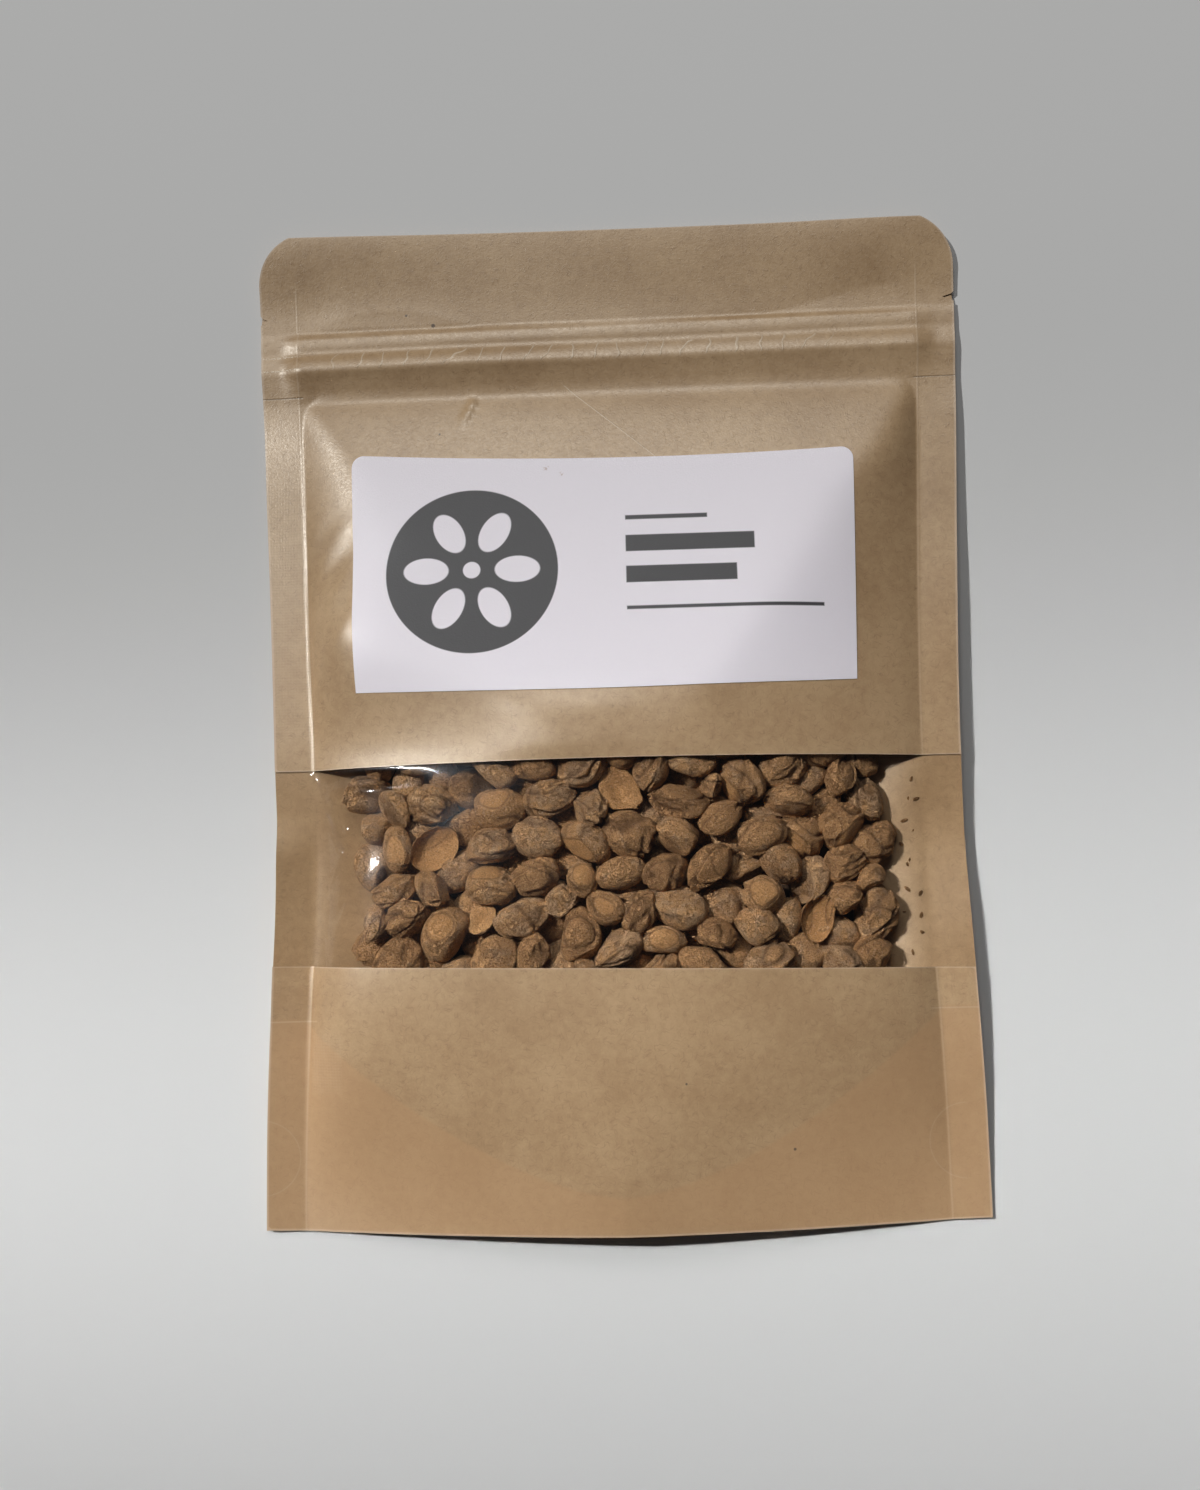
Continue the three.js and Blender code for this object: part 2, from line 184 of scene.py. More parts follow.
def side_profile(x, drop):
    side = np.where(x < 0, -1, 1)
    toward_bottom = smooth(drop, WINDOW_DROP + WINDOW_HEIGHT, SIDE_LENGTH)
    full = FULLNESS + (FULLNESS_AT_BOTTOM - FULLNESS) * toward_bottom
    reach = half_width(drop, side) - SEAL_WIDTH
    inward = softened(np.clip(1 - abs(x) / reach, 0, 1), SIDE_EASE)
    share = np.where(side < 0, eased(ROLL_SHARE[-1], drop), eased(ROLL_SHARE[1], drop))
    share = share * (1 - toward_bottom)
    roll = 1 - np.exp(-inward * reach / np.where(side < 0, ROLL_REACH[-1], ROLL_REACH[1]))
    return share * roll + (1 - share) * (1 - (1 - inward) ** full)


# Gentle bows of the flat top, in both panels: middle across, half width, height at the
# cut top edge, height at the zip, and the drop at which each is gone.
BOWS = [(-69, 34, 1.8, -0.6, 50), (59, 18, 1, -0.5, 32), (20, 42, -0.1, -1, 55)]
# The drop at which a bow has its height at the zip, and the drop at which it starts to fade.
BOW_AT_ZIP = 17
BOW_FADES = 20


def header_wave(x, drop):
    bow = 0
    for middle, half, at_top, at_zip, gone in BOWS:
        height = at_top + (at_zip - at_top) * smooth(drop, 0, BOW_AT_ZIP)
        height = height * (1 - smooth(drop, BOW_FADES, gone))
        bow = bow + height * np.exp(-(((x - middle) / half) ** 2))
    return bow


def zip_relief(x, drop):
    offsets, heights = zip(*ZIP_SECTION)
    at = drop - ZIP_DROP - ZIP_TILT * x
    shifts = (-ZIP_ROUNDING, 0, ZIP_ROUNDING)
    section = sum(np.interp(at + shift, offsets, heights, left=0, right=0) for shift in shifts) / 3
    seal = half_width(drop, x) - SEAL_WIDTH
    section = section * (1 + ZIP_PROUDER_ON_LEFT * (1 - smooth(x, *ZIP_EVENS_OUT)))
    start = seal - ZIP_CRUSH_START
    return section * (1 + (CRUSHED_ZIP - 1) * smooth(abs(x), start, start + ZIP_CRUSH_LENGTH))


# Small signs of handling, each with its height and the four places, across the pouch or
# down it, at which it starts, is full, ebbs and is gone. Two shallow folds arch over the zip.
FOLD_REACH = 5
FOLDS_END_AT_ZIP = 0.5
LEFT_FOLD = {"height": 0.22, "across": (-62, -52, -34, -24), "drop": 18.9, "arch": 3.5, "length": 34}
RIGHT_FOLD = {"height": 0.25, "across": (4, 30, 55, 63), "drop": 19.3, "climb": 6, "climbs": (25, 60)}
# A short pinched fold above the label, steep on its right side.
PINCH = {"height": 0.45, "down": (33, 36, 38, 42), "x": -26.4, "shift": 2.4, "shifts": (34, 42)}
PINCH_SIDES = (2, 0.3)
# Slanted buckles beside the label's left edge: waves in a millimetre down and across.
BUCKLES = {"height": 0.1, "across": (-60, -56, -53, -46), "down": (56, 64, 96, 104)}
BUCKLE_WAVES = (0.09, 0.12)
# A soft bulge between the label and the window.
BULGE = {"height": 0.8, "across": (-27, -10, -8, 16), "starts": (94, 101), "ends": (106, 112)}


def paper_relief(x, drop):
    """Waves, folds and creases that are too small to be part of the pouch's main form."""
    arching = np.clip((x - LEFT_FOLD["across"][0]) / LEFT_FOLD["length"], 0, 1)
    left_arc = LEFT_FOLD["drop"] - LEFT_FOLD["arch"] * np.sin(math.pi * arching)
    right_arc = RIGHT_FOLD["drop"] - RIGHT_FOLD["climb"] * smooth(x, *RIGHT_FOLD["climbs"])
    left_fold = hump(LEFT_FOLD["height"], x, *LEFT_FOLD["across"])
    left_fold = left_fold * np.exp(-abs(drop - left_arc) / FOLD_REACH)
    right_fold = hump(RIGHT_FOLD["height"], x, *RIGHT_FOLD["across"])
    right_fold = right_fold * np.exp(-abs(drop - right_arc) / FOLD_REACH)
    above_zip = 1 - smooth(drop, ZIP_DROP - FOLDS_END_AT_ZIP, ZIP_DROP + FOLDS_END_AT_ZIP)
    relief = (left_fold - right_fold) * above_zip
    pinch_x = PINCH["x"] - PINCH["shift"] * smooth(drop, *PINCH["shifts"])
    gentle_side = smooth(x, pinch_x - PINCH_SIDES[0], pinch_x)
    steep_side = smooth(x, pinch_x, pinch_x + PINCH_SIDES[1])
    along_pinch = hump(1, drop, *PINCH["down"])
    relief = relief + PINCH["height"] * along_pinch * (gentle_side - steep_side)
    buckled = hump(hump(1, x, *BUCKLES["across"]), drop, *BUCKLES["down"])
    wave = np.sin(2 * math.pi * (BUCKLE_WAVES[0] * drop + BUCKLE_WAVES[1] * x))
    relief = relief + BUCKLES["height"] * buckled * wave
    bulge = hump(1, x, *BULGE["across"]) * smooth(drop, *BULGE["starts"])
    return relief + BULGE["height"] * bulge * (1 - smooth(drop, *BULGE["ends"]))


def seal_curl(x, drop):
    curl = np.where(x < 0, eased(SEAL_CURL[-1], drop), eased(SEAL_CURL[1], drop))
    outward = (abs(x) - half_width(drop, x) + SEAL_WIDTH) / SEAL_WIDTH
    return curl * np.clip(outward, 0, 1) * smooth(drop, *SEAL_CURL_STARTS)


def form_height(x, drop):
    edge = eased(EDGE_HEIGHTS, drop)
    along, across = 1 - rise(drop) / CREST_RISE, 1 - side_profile(x, drop)
    sharpness = eased(HIP_SHARPNESS, drop)
    hollow = (along**sharpness + across**sharpness) ** (1 / sharpness)
    swell = np.clip(1 - hollow, 0, 1)
    return edge + (crest(drop) - edge) * swell + header_wave(x, drop) + seal_curl(x, drop)


def front_height(x, drop):
    return form_height(x, drop) + zip_relief(x, drop) + paper_relief(x, drop)


def window_edge(x, part):
    return WINDOW_DROP + part * (WINDOW_HEIGHT + WINDOW_SKEW * x)


def bowed(x, drop):
    """The drop of a point once the bottom edge bows outward."""
    near_bottom = smooth(drop, SIDE_LENGTH - BOTTOM_BOW_REACH, SIDE_LENGTH)
    return drop + BOTTOM_BOW * near_bottom * (1 - (x / BOTTOM_HALF_WIDTH) ** 2)


def seal_inner_edge(edge):
    """Half the width between the side seals, from half the width of the pouch."""
    return edge - SEAL_WIDTH * np.clip(edge / FULL_SEAL_HALF_WIDTH, 0, 1)


# The share of the stations' spacing that gathers them toward the seals.
GATHERED = 0.4


def width_stations(inner_steps, seal_steps):
    """Places across the pouch as seal-to-seal parts from -1 to 1, then the two seals beyond."""
    inner = np.linspace(-1, 1, inner_steps + 1)
    inner = (1 - GATHERED) * inner + GATHERED * np.sin(math.pi / 2 * inner)
    seal = 1 + np.arange(1, seal_steps + 1) / seal_steps
    return np.concatenate([-seal[::-1], inner, seal])


def across_pouch(stations, drop):
    """x of every station, in a grid of one row per drop. Stations past 1 lie in the seals."""
    side = np.where(stations < 0, -1, 1)[None, :]
    drop = np.asarray(drop, float)[:, None]
    edge = half_width(drop, side)
    notch = 1 - np.clip(abs(drop - NOTCH_DROP) / (NOTCH_HEIGHT / 2), 0, 1)
    seal = seal_inner_edge(edge)
    edge = edge - np.where(side < 0, NOTCH_DEPTH[-1], NOTCH_DEPTH[1]) * notch
    part = abs(stations)[None, :]
    return side * np.where(part <= 1, part * seal, seal + (edge - seal) * (part - 1))


def add_mesh(name, points, faces, materials):
    """A smooth-shaded object from points in millimetres."""
    mesh = bpy.data.meshes.new(name)
    mesh.from_pydata([], [], [])
    mesh.vertices.add(len(points))
    mesh.vertices.foreach_set("co", (np.asarray(points, np.float32) * MM).ravel())
    faces = np.asarray(faces, np.int32)
    size = faces.shape[1]
    mesh.loops.add(faces.size)
    mesh.loops.foreach_set("vertex_index", faces.ravel())
    mesh.polygons.add(len(faces))
    mesh.polygons.foreach_set("loop_start", np.arange(0, faces.size, size, dtype=np.int32))
    mesh.polygons.foreach_set("loop_total", np.full(len(faces), size, np.int32))
    mesh.polygons.foreach_set("use_smooth", np.ones(len(faces), bool))
    mesh.update()
    mesh.validate()
    for material in materials:
        mesh.materials.append(material)
    piece = bpy.data.objects.new(name, mesh)
    bpy.context.scene.collection.objects.link(piece)
    return piece


def grid_faces(rows, columns):
    corner = (np.arange(rows - 1)[:, None] * columns + np.arange(columns - 1)).ravel()
    return np.stack([corner, corner + columns, corner + columns + 1, corner + 1], axis=1)


def in_space(x, drop, height):
    """A grid of points from grids of x, drop and height."""
    return np.stack([x, TOP_Y - drop, height], axis=-1)


# Edges bent by more than this are shaded sharp, so that cut edges look cut.
CUT_EDGE_ANGLE = math.radians(50)


def add_sheet(name, face, under, materials):
    """A closed sheet from two equal grids of points: its face, its underside and cut edges."""
    rows, columns = face.shape[:2]
    layer = rows * columns
    top_faces = grid_faces(rows, columns)
    number = np.arange(layer).reshape(rows, columns)
    rim = np.concatenate([number[0, :], number[1:, -1], number[-1, -2::-1], number[-2::-1, 0]])
    sides = np.stack([rim[1:], rim[:-1], rim[:-1] + layer, rim[1:] + layer], axis=1)
    faces = np.concatenate([top_faces, top_faces[:, ::-1] + layer, sides])
    points = np.concatenate([face.reshape(-1, 3), under.reshape(-1, 3)])
    piece = add_mesh(name, points, faces, materials)
    piece.data.set_sharp_from_angle(angle=CUT_EDGE_ANGLE)
    return piece


def store(piece, name, values):
    """Keeps a number at each point of a piece, for its material to read."""
    attribute = piece.data.attributes.new(name, "FLOAT", "POINT")
    attribute.data.foreach_set("value", np.asarray(values, np.float32))


class Wire:
    """One socket of a material's node tree. Arithmetic on it adds Math nodes."""

    def __init__(self, tree, socket=None):
        self.tree = tree
        self.socket = socket

    def node(self, kind, settings=None, inputs=None, output=0):
        made = self.tree.nodes.new("ShaderNode" + kind)
        for name, value in (settings or {}).items():
            setattr(made, name, value)
        for key, value in (inputs or {}).items():
            if isinstance(value, Wire):
                self.tree.links.new(value.socket, made.inputs[key])
            else:
                made.inputs[key].default_value = value
        return Wire(self.tree, made.outputs[output])

    def math(self, operation, *others):
        """A Math node with this wire in its first socket."""
        return self.node("Math", {"operation": operation}, dict(enumerate((self, *others))))

    def __add__(self, other):
        return self.math("ADD", other)

    __radd__ = __add__

    def __sub__(self, other):
        return self.math("SUBTRACT", other)

    def __rsub__(self, other):
        return self.node("Math", {"operation": "SUBTRACT"}, {0: other, 1: self})

    def __mul__(self, other):
        return self.math("MULTIPLY", other)

    __rmul__ = __mul__

    def __truediv__(self, other):
        return self.math("DIVIDE", other)

    def __pow__(self, other):
        return self.math("POWER", other)

    def __abs__(self):
        return self.math("ABSOLUTE")

    def between(self, low, high):
        """0 below low and 1 above high, with a smooth step from one to the other."""
        settings = {"interpolation_type": "SMOOTHSTEP"}
        flip = low > high
        bounds = {"From Min": high if flip else low, "From Max": low if flip else high}
        step = self.node("MapRange", settings, {"Value": self, **bounds})
        return 1 - step if flip else step

    def scaled(self, factors):
        return self.node("VectorMath", {"operation": "MULTIPLY"}, {0: self, 1: factors})

    def noise(self, scale, detail=2.0, distortion=0.0):
        values = {"Vector": self, "Scale": scale, "Detail": detail, "Distortion": distortion}
        return self.node("TexNoise", None, values)

    def mixed(self, first, second, mode="MIX"):
        """Colour first where this factor is 0, and second where it is 1."""
        settings = {"data_type": "RGBA", "blend_type": mode}
        return self.node("Mix", settings, {0: self, 6: first, 7: second}, 2)


def rgb(red, green, blue):
    return (red, green, blue, 1)


def new_material(name):
    """A material's Principled node, and a wire to its tree."""
    material = bpy.data.materials.new(name)
    material.use_nodes = True
    return material, material.node_tree.nodes["Principled BSDF"], Wire(material.node_tree)


def millimetres(wire):
    """The place on the object, in millimetres."""
    return wire.node("TexCoord", output="Object").scaled((1 / MM,) * 3)


def across_and_up(place):
    """A place's x and y."""
    parts = place.node("SeparateXYZ", None, {0: place}).socket.node.outputs
    return Wire(place.tree, parts["X"]), Wire(place.tree, parts["Y"])


def stored(wire, name):
    """The number that store keeps at each point."""
    return wire.node("Attribute", {"attribute_name": name}, output=2)


def distance(from_x, from_y):
    return (from_x * from_x + from_y * from_y) ** 0.5


def feed(shader, **sockets):
    """Sets or links a shader's sockets, named with _ for a space."""
    for name, value in sockets.items():
        socket = shader.inputs[name.replace("_", " ")]
        if isinstance(value, Wire):
            value.tree.links.new(value.socket, socket)
        else:
            socket.default_value = value


# How far a fibre bends off its line.
FIBRE_SWAY = 1.6


def fibres(place, angle, length, width, density):
    """Scattered short curved fibres that lie near one angle: 1 on a fibre, 0 elsewhere."""
    about_z = {"rotation_type": "Z_AXIS"}
    turned = place.node("VectorRotate", about_z, {"Vector": place, "Angle": angle})
    drift = turned.node("TexNoise", None, {"Vector": turned, "Scale": 0.7}, 1)
    drift = drift.scaled((0, FIBRE_SWAY, 0))
    bent = turned.node("VectorMath", {"operation": "ADD"}, {0: turned, 1: drift})
    cells = bent.scaled((1 / length, 1 / width, 0.3))
    near = cells.node("TexVoronoi", {"voronoi_dimensions": "2D"}, {"Vector": cells, "Scale": 1.0})
    shade = Wire(place.tree, near.socket.node.outputs["Color"])
    chosen = shade.node("SeparateColor", None, {0: shade}).between(1 - density - 0.05, 1 - density)
    return near.between(0.42, 0.2) * chosen


# Marks pressed into the paper: a gusset seal that curves across below the window, creases across both side
# seals, two punched corner arcs, and a fine knurl left by the seal jaws. The creases in the seals and
# along the seals' inner edges are painted as pale highlight lines, and the crease at the chamber's top as
# a dark line of painted shade.
GUSSET_CREASE_DROP = 158.3
GUSSET_SEAL_DEPTH = 34
GUSSET_SEAL_HALF_WIDTH = 61.5
GUSSET_SEAL_POWER = 1.6
CREASE_WIDTH = 0.28
TOP_CREASE_DROP = 33.3
# The rib is nicked by slanted creases, and in the seal it's crushed to two dotted lines.
NICK_PITCH = 4.7
NICK_SLANT = 0.45
NICKED = (-56, 45)
RIB = (4.6, 8)
ARC_RADIUS = 7.2
ARC_HALF_WIDTH = 0.12
ARC_CENTRES = [(-70.3, 184.5), (65.5, 183.6)]
KNURL_PITCH = 0.58
# Knurled patches: inner and outer place in the seal, and the drops of its top and bottom.
KNURLED = [(0.5, 7.3, 50, 104), (-7.5, -1, 160.5, 172)]
# Dark specks in the pulp: across, down and radius. Each is solid out to a part of its radius.
SPECKS = [
    (-35, 18.9, 0.5), (-40.5, 16.6, 0.32), (32.2, 184, 0.35), (-33.6, 42.5, 0.28), (12, 171, 0.28),
]
SPECK_CORE = 0.6
CUT_EDGE_WIDTH = 0.2
# Added to the place in a seal when it is stored, so that the stored number isn't negative.
SEAL_OFFSET = 50


KRAFT_DARK = rgb(0.375, 0.235, 0.12)
KRAFT_LIGHT = rgb(0.53, 0.36, 0.2)
FIBRE_BROWN = rgb(0.24, 0.135, 0.062)
SEALED_BROWN = rgb(0.5, 0.3, 0.152)
HIGHLIGHT_AND_KNURL_PALE = rgb(0.62, 0.47, 0.32)
BROKEN_PALE = rgb(0.85, 0.74, 0.58)
SPECK_AND_CREASE_SHADE_BROWN = rgb(0.07, 0.04, 0.025)
CUT_EDGE_PALE = rgb(0.72, 0.58, 0.45)
WARM_SHINE = rgb(1, 0.95, 0.85)


def band(value, low, high, ease):
    """1 where a wire's value is between low and high, and 0 outside."""
    return value.between(low - ease, low + ease) * value.between(high + ease, high - ease)


def kraft_paper():
    material, shader, wire = new_material("kraft_paper")
    place = millimetres(wire)
    across, upward = across_and_up(place)
    down = TOP_Y - upward
    in_seal = stored(wire, "seal_place") - SEAL_OFFSET
    near_cut = stored(wire, "near_cut")

    cloud = place.noise(0.06, 3.0)
    flock = place.noise(0.55, 4.0, 0.4)
    grain = place.noise(2.6, 3.0)
    strands = fibres(place, 0.3, 2.4, 0.32, 0.12) + fibres(place, 1.5, 1.9, 0.3, 0.1)
    strands = strands + fibres(place, 2.5, 2.2, 0.3, 0.1)
    tone = (cloud - 0.5) * 0.8 + (flock - 0.5) * 0.6 + (grain - 0.5) * 0.4 + 0.5
    colour = tone.between(0.1, 0.9).mixed(KRAFT_DARK, KRAFT_LIGHT)
    colour = (strands * 0.26).mixed(colour, FIBRE_BROWN)

    from_corner = 1 - (abs(across) / GUSSET_SEAL_HALF_WIDTH) ** GUSSET_SEAL_POWER
    curve = GUSSET_CREASE_DROP + GUSSET_SEAL_DEPTH * from_corner
    lower_part = down.between(GUSSET_CREASE_DROP - 1, GUSSET_CREASE_DROP)
    sealed = (down - curve).between(-0.5, 0.5) * lower_part
    colour = (sealed * 0.55).mixed(colour, SEALED_BROWN)
    # Painted highlight: the gusset's top fold is drawn as a pale line across the side seals.
    creases = band(down - GUSSET_CREASE_DROP, -CREASE_WIDTH / 2, CREASE_WIDTH / 2, 0.08)
    creases = creases * in_seal.between(-2.2, -1.4)
    # Painted shade: the crease across the seals at the chamber's top is drawn as a dark line.
    crease_shade = band(down - TOP_CREASE_DROP, -CREASE_WIDTH, 0, 0.1) * in_seal.between(-1.2, -0.4)
    scratch = band(down - across * 0.91, 40.2, 40.4, 0.08) * band(across, -8.5, 10.6, 1)
    # Painted highlight: a pale line along each seal's inner edge, where the paper bends up out of the
    # seal.
    creases = creases + band(in_seal, -0.2, 0.15, 0.12) * down.between(8, 12) * 0.8
    for centre_x, centre_drop in ARC_CENTRES:
        from_x, from_drop = across - centre_x, down - centre_drop
        radius = distance(from_x, from_drop)
        inner_side = (from_x * (-1 if centre_x > 0 else 1)).between(-1, 1)
        on_arc = band(radius, ARC_RADIUS - ARC_HALF_WIDTH, ARC_RADIUS + ARC_HALF_WIDTH, 0.1)
        creases = creases + on_arc * inner_side * 0.6
    down_turn = down * (2 * math.pi / KNURL_PITCH)
    across_turn = across * (2 * math.pi / KNURL_PITCH)
    comb = down_turn.math("SINE") * 0.6 + across_turn.math("SINE") * 0.4
    knurl = 0
    for inner, outer, top, bottom in KNURLED:
        knurl = knurl + band(in_seal, inner, outer, 0.4) * band(down, top, bottom, 1.5)
    ticks = band(in_seal, -0.9, 0.7, 0.3) * band(down, 74, 108, 3)
    left = across.between(1, -1)
    pressed_comb = comb * (knurl + ticks * 1.5) * left
    specks = 0
    for speck_x, speck_drop, size in SPECKS:
        from_middle = distance(across - speck_x, down - speck_drop)
        specks = specks + from_middle.between(size, size * SPECK_CORE)
    # The crease lines mix in here as painted highlights, and the knurl comb as a paler pressed pattern.
    pale = creases * 0.4 + (pressed_comb + 1) * 0.07 * (knurl + ticks) * left
    colour = pale.mixed(colour, HIGHLIGHT_AND_KNURL_PALE)
    zip_down = down - across * ZIP_TILT - ZIP_DROP
    slanted = across + zip_down * NICK_SLANT + place.noise(0.12) * 9
    nicks = (slanted / NICK_PITCH).math("FRACT").between(0.1, 0.02)
    nicks = nicks * band(zip_down, *RIB, 0.4) * band(across, *NICKED, 6)
    upper_line = band(zip_down, RIB[0] - 0.1, RIB[0] + 0.15, 0.15)
    lower_line = band(zip_down, RIB[1] - 0.6, RIB[1] - 0.35, 0.15)
    crushed = upper_line + lower_line
    crushed = crushed * in_seal.between(-1.5, 0.5) * left * grain.between(0.42, 0.56)
    colour = (nicks * 0.45 + crushed * 0.8 + scratch * 0.5).mixed(colour, BROKEN_PALE)
    # The dark specks are real specks in the pulp; the crease line mixed in with them is painted shade.
    colour = (crease_shade * 0.5 + specks * 0.9).mixed(colour, SPECK_AND_CREASE_SHADE_BROWN)
    colour = (near_cut.between(0.35, 0.75) * 0.4).mixed(colour, CUT_EDGE_PALE)

    crumple = place.noise(1.7, 4.0)
    bump = crumple * 0.55 + grain * 0.5 + strands * 0.15 + creases * 0.5 + pressed_comb * 0.12
    bump = bump + nicks + crushed + scratch * 0.5 - crease_shade
    normal = wire.node("Bump", None, {"Height": bump, "Strength": 0.4, "Distance": 0.0001})
    feed(
        shader, Base_Color=colour, Roughness=(crumple - 0.5) * 0.3 + 0.4, Normal=normal,
        Specular_IOR_Level=1.0, Specular_Tint=WARM_SHINE, IOR=1.6,
    )
    return material


def mark_edges(piece, x, drop, from_window):
    """Stores how near each point is to a cut edge, and where it lies in the side seals."""
    edge = half_width(drop, x)
    to_end = np.minimum(drop, SIDE_LENGTH - drop)
    to_cut = np.minimum(np.minimum(edge - abs(x), to_end), from_window)
    near_cut = np.clip(1 - to_cut / (2 * CUT_EDGE_WIDTH), 0, 1)
    in_seal = SEAL_OFFSET + abs(x) - seal_inner_edge(edge)
    for name, values in (("near_cut", near_cut), ("seal_place", in_seal)):
        store(piece, name, np.tile(values.ravel(), 2))


kraft = kraft_paper()

FINE_STATIONS = width_stations(200, 9)
# Rows lie closest together over the press-to-close strip.
upper_drops = np.concatenate([
    [0, 0.2], np.arange(0.5, 17.5, 0.5), np.arange(17.5, 35, 0.3), np.arange(35, 46, 0.5),
    np.linspace(46, WINDOW_DROP - 0.6, 80), [WINDOW_DROP - 0.3, WINDOW_DROP],
])
x = across_pouch(FINE_STATIONS, upper_drops)
drop = np.broadcast_to(upper_drops[:, None], x.shape)
face = in_space(x, drop, front_height(x, drop))
front_upper = add_sheet("kraft_front_upper", face, face - (0, 0, PAPER), [kraft])
mark_edges(front_upper, x, drop, WINDOW_DROP - drop)

part = np.concatenate([[0, 0.006], np.linspace(0.012, 1, 64)])[:, None]
row_drop = WINDOW_DROP + WINDOW_HEIGHT + (SIDE_LENGTH - WINDOW_DROP - WINDOW_HEIGHT) * part[:, 0]
x = across_pouch(FINE_STATIONS, row_drop)
drop = window_edge(x, 1) + (SIDE_LENGTH - window_edge(x, 1)) * part
face = in_space(x, bowed(x, drop), front_height(x, drop))
front_lower = add_sheet("kraft_front_lower", face, face - (0, 0, PAPER), [kraft])
mark_edges(front_lower, x, drop, drop - window_edge(x, 1))

for piece in (front_upper, front_lower):
    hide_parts("pouch")
    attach(piece, "root")

# ---- Back panel
# The same kraft laminate in one sheet. It lies flat on the table under the beans, and
# its sides rise to the seals. Its bottom edge bows out farther than the front panel's.

BACK_BOW = 1.5
BACK_BOW_HALF_WIDTH = 48
SEAL_GAP = 0.12


def back_face(x, drop):
    """Height of the back panel's inner face."""
    edge = eased(EDGE_HEIGHTS, drop) - 2 * PAPER - SEAL_GAP
    seal = half_width(drop, x) - SEAL_WIDTH
    outward = smooth(abs(x), FLAT_BACK_HALF_WIDTH, seal)
    upward = 1 - smooth(drop, CHAMBER_DROP, CHAMBER_DROP + BACK_RISE_LENGTH)
    risen = edge * np.maximum(outward, upward) + header_wave(x, drop) + seal_curl(x, drop)
    return np.maximum(risen, 0) + PAPER


def back_bow(x, drop):
    """How much farther the back panel's bottom edge bows than the front panel's."""
    near_bottom = smooth(drop, SIDE_LENGTH - BOTTOM_BOW_REACH, SIDE_LENGTH)
    return BACK_BOW * near_bottom * (1 - smooth(abs(x), 0, BACK_BOW_HALF_WIDTH))


row_drop = np.linspace(0, SIDE_LENGTH, 150)
x = across_pouch(width_stations(120, 6), row_drop)
drop = np.broadcast_to(row_drop[:, None], x.shape)
face = in_space(x, bowed(x, drop) + back_bow(x, drop), back_face(x, drop))
back_panel = add_sheet("kraft_back", face, face - (0, 0, PAPER), [kraft])
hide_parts("pouch")
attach(back_panel, "root")

# ---- Bottom gusset
# A strip of the kraft laminate folded once, between the two panels at the bottom. Its
# upper leaf is sealed under the front panel, and its lower leaf lies on the back panel.

GUSSET_DEPTH = 28
GUSSET_HALF_WIDTH = 60
GUSSET_RISE_POWER = 0.8
FOLD_GAP = 0.3
GUSSET_CLEARANCE = 0.03

across = np.linspace(-GUSSET_HALF_WIDTH, GUSSET_HALF_WIDTH, 61)[None, :]
open_part = np.linspace(1, 0, 24)[:, None]
x = across + 0 * open_part
drop = SIDE_LENGTH - GUSSET_DEPTH * (1 - open_part) + 0 * across
floor = back_face(x, drop) + GUSSET_CLEARANCE
roof = front_height(x, drop) - PAPER - GUSSET_CLEARANCE
roof = floor + PAPER + FOLD_GAP + (roof - floor - PAPER - FOLD_GAP) * open_part**GUSSET_RISE_POWER
upper_face = in_space(x, bowed(x, drop), roof)
lower_face = in_space(x, bowed(x, drop) + back_bow(x, drop), floor)[::-1]
thickness = np.array([0, 0, PAPER])
fold = np.array([0, PAPER, 0])
outer = np.concatenate([upper_face, upper_face[-1:] + fold - thickness, lower_face])
inside_fold = upper_face[-1:] - 1.5 * thickness
inner = np.concatenate([upper_face - thickness, inside_fold, lower_face + thickness])
gusset = add_sheet("kraft_gusset", outer, inner, [kraft])
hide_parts("pouch")
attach(gusset, "root")

# ---- Window film
# A strip of clear glossy film sealed under the kraft paper's edges above and below the
# window. At the sides it lies on the back panel, and in between it is pressed on the beans.

FILM = 0.05
FILM_OVERLAP = 2
FILM_BELOW_PAPER = 0.03
# Creases in the slack film at its sides: points down each as (drop, x), height, half width.
FILM_CREASES = [
    ([(110.3, -59.2), (116, -57.4), (122.3, -54.9), (126.3, -53.1)], 0.5, 0.45),
    ([(126, -53.1), (131, -55.3), (137.8, -57.9), (147.5, -56.4)], 0.16, 0.4),
    ([(135.6, -51.7), (139.2, -53.4)], 0.35, 0.4),
    ([(121, -52.1), (122.2, -51.9)], 0.4, 0.4),
    ([(110.4, 58.8), (112.6, 57.8)], 0.35, 0.4),
    ([(118, -44), (122.4, -45.4)], 0.12, 0.9),
]
CREASE_END = 0.6


def film_creases(x, drop):
    relief = 0
    for line, height, half in FILM_CREASES:
        drops, places = zip(*line)
        start, stop = drops[0], drops[-1]
        along = hump(1, drop, start - CREASE_END, start + CREASE_END, stop - CREASE_END, stop + CREASE_END)
        from_line = (x - np.interp(drop, drops, places)) / half
        relief = relief + height * along * np.exp(-(from_line**2))
    return relief


# At the left the film stands up off the beans, most near the top. It is full by a few
# millimetres below the window's edge, and held down near the seal. Between the beans it
# sags a little.
STAND_OFF = {"middle": -48, "half": 9, "height": 3.5, "start": 5, "held": (-60, -56)}
SAG = {"depth": 0.08, "down": 0.55, "across": 0.3, "edge": 6, "from_seal_to_seal": (-58, -50, 50, 58)}


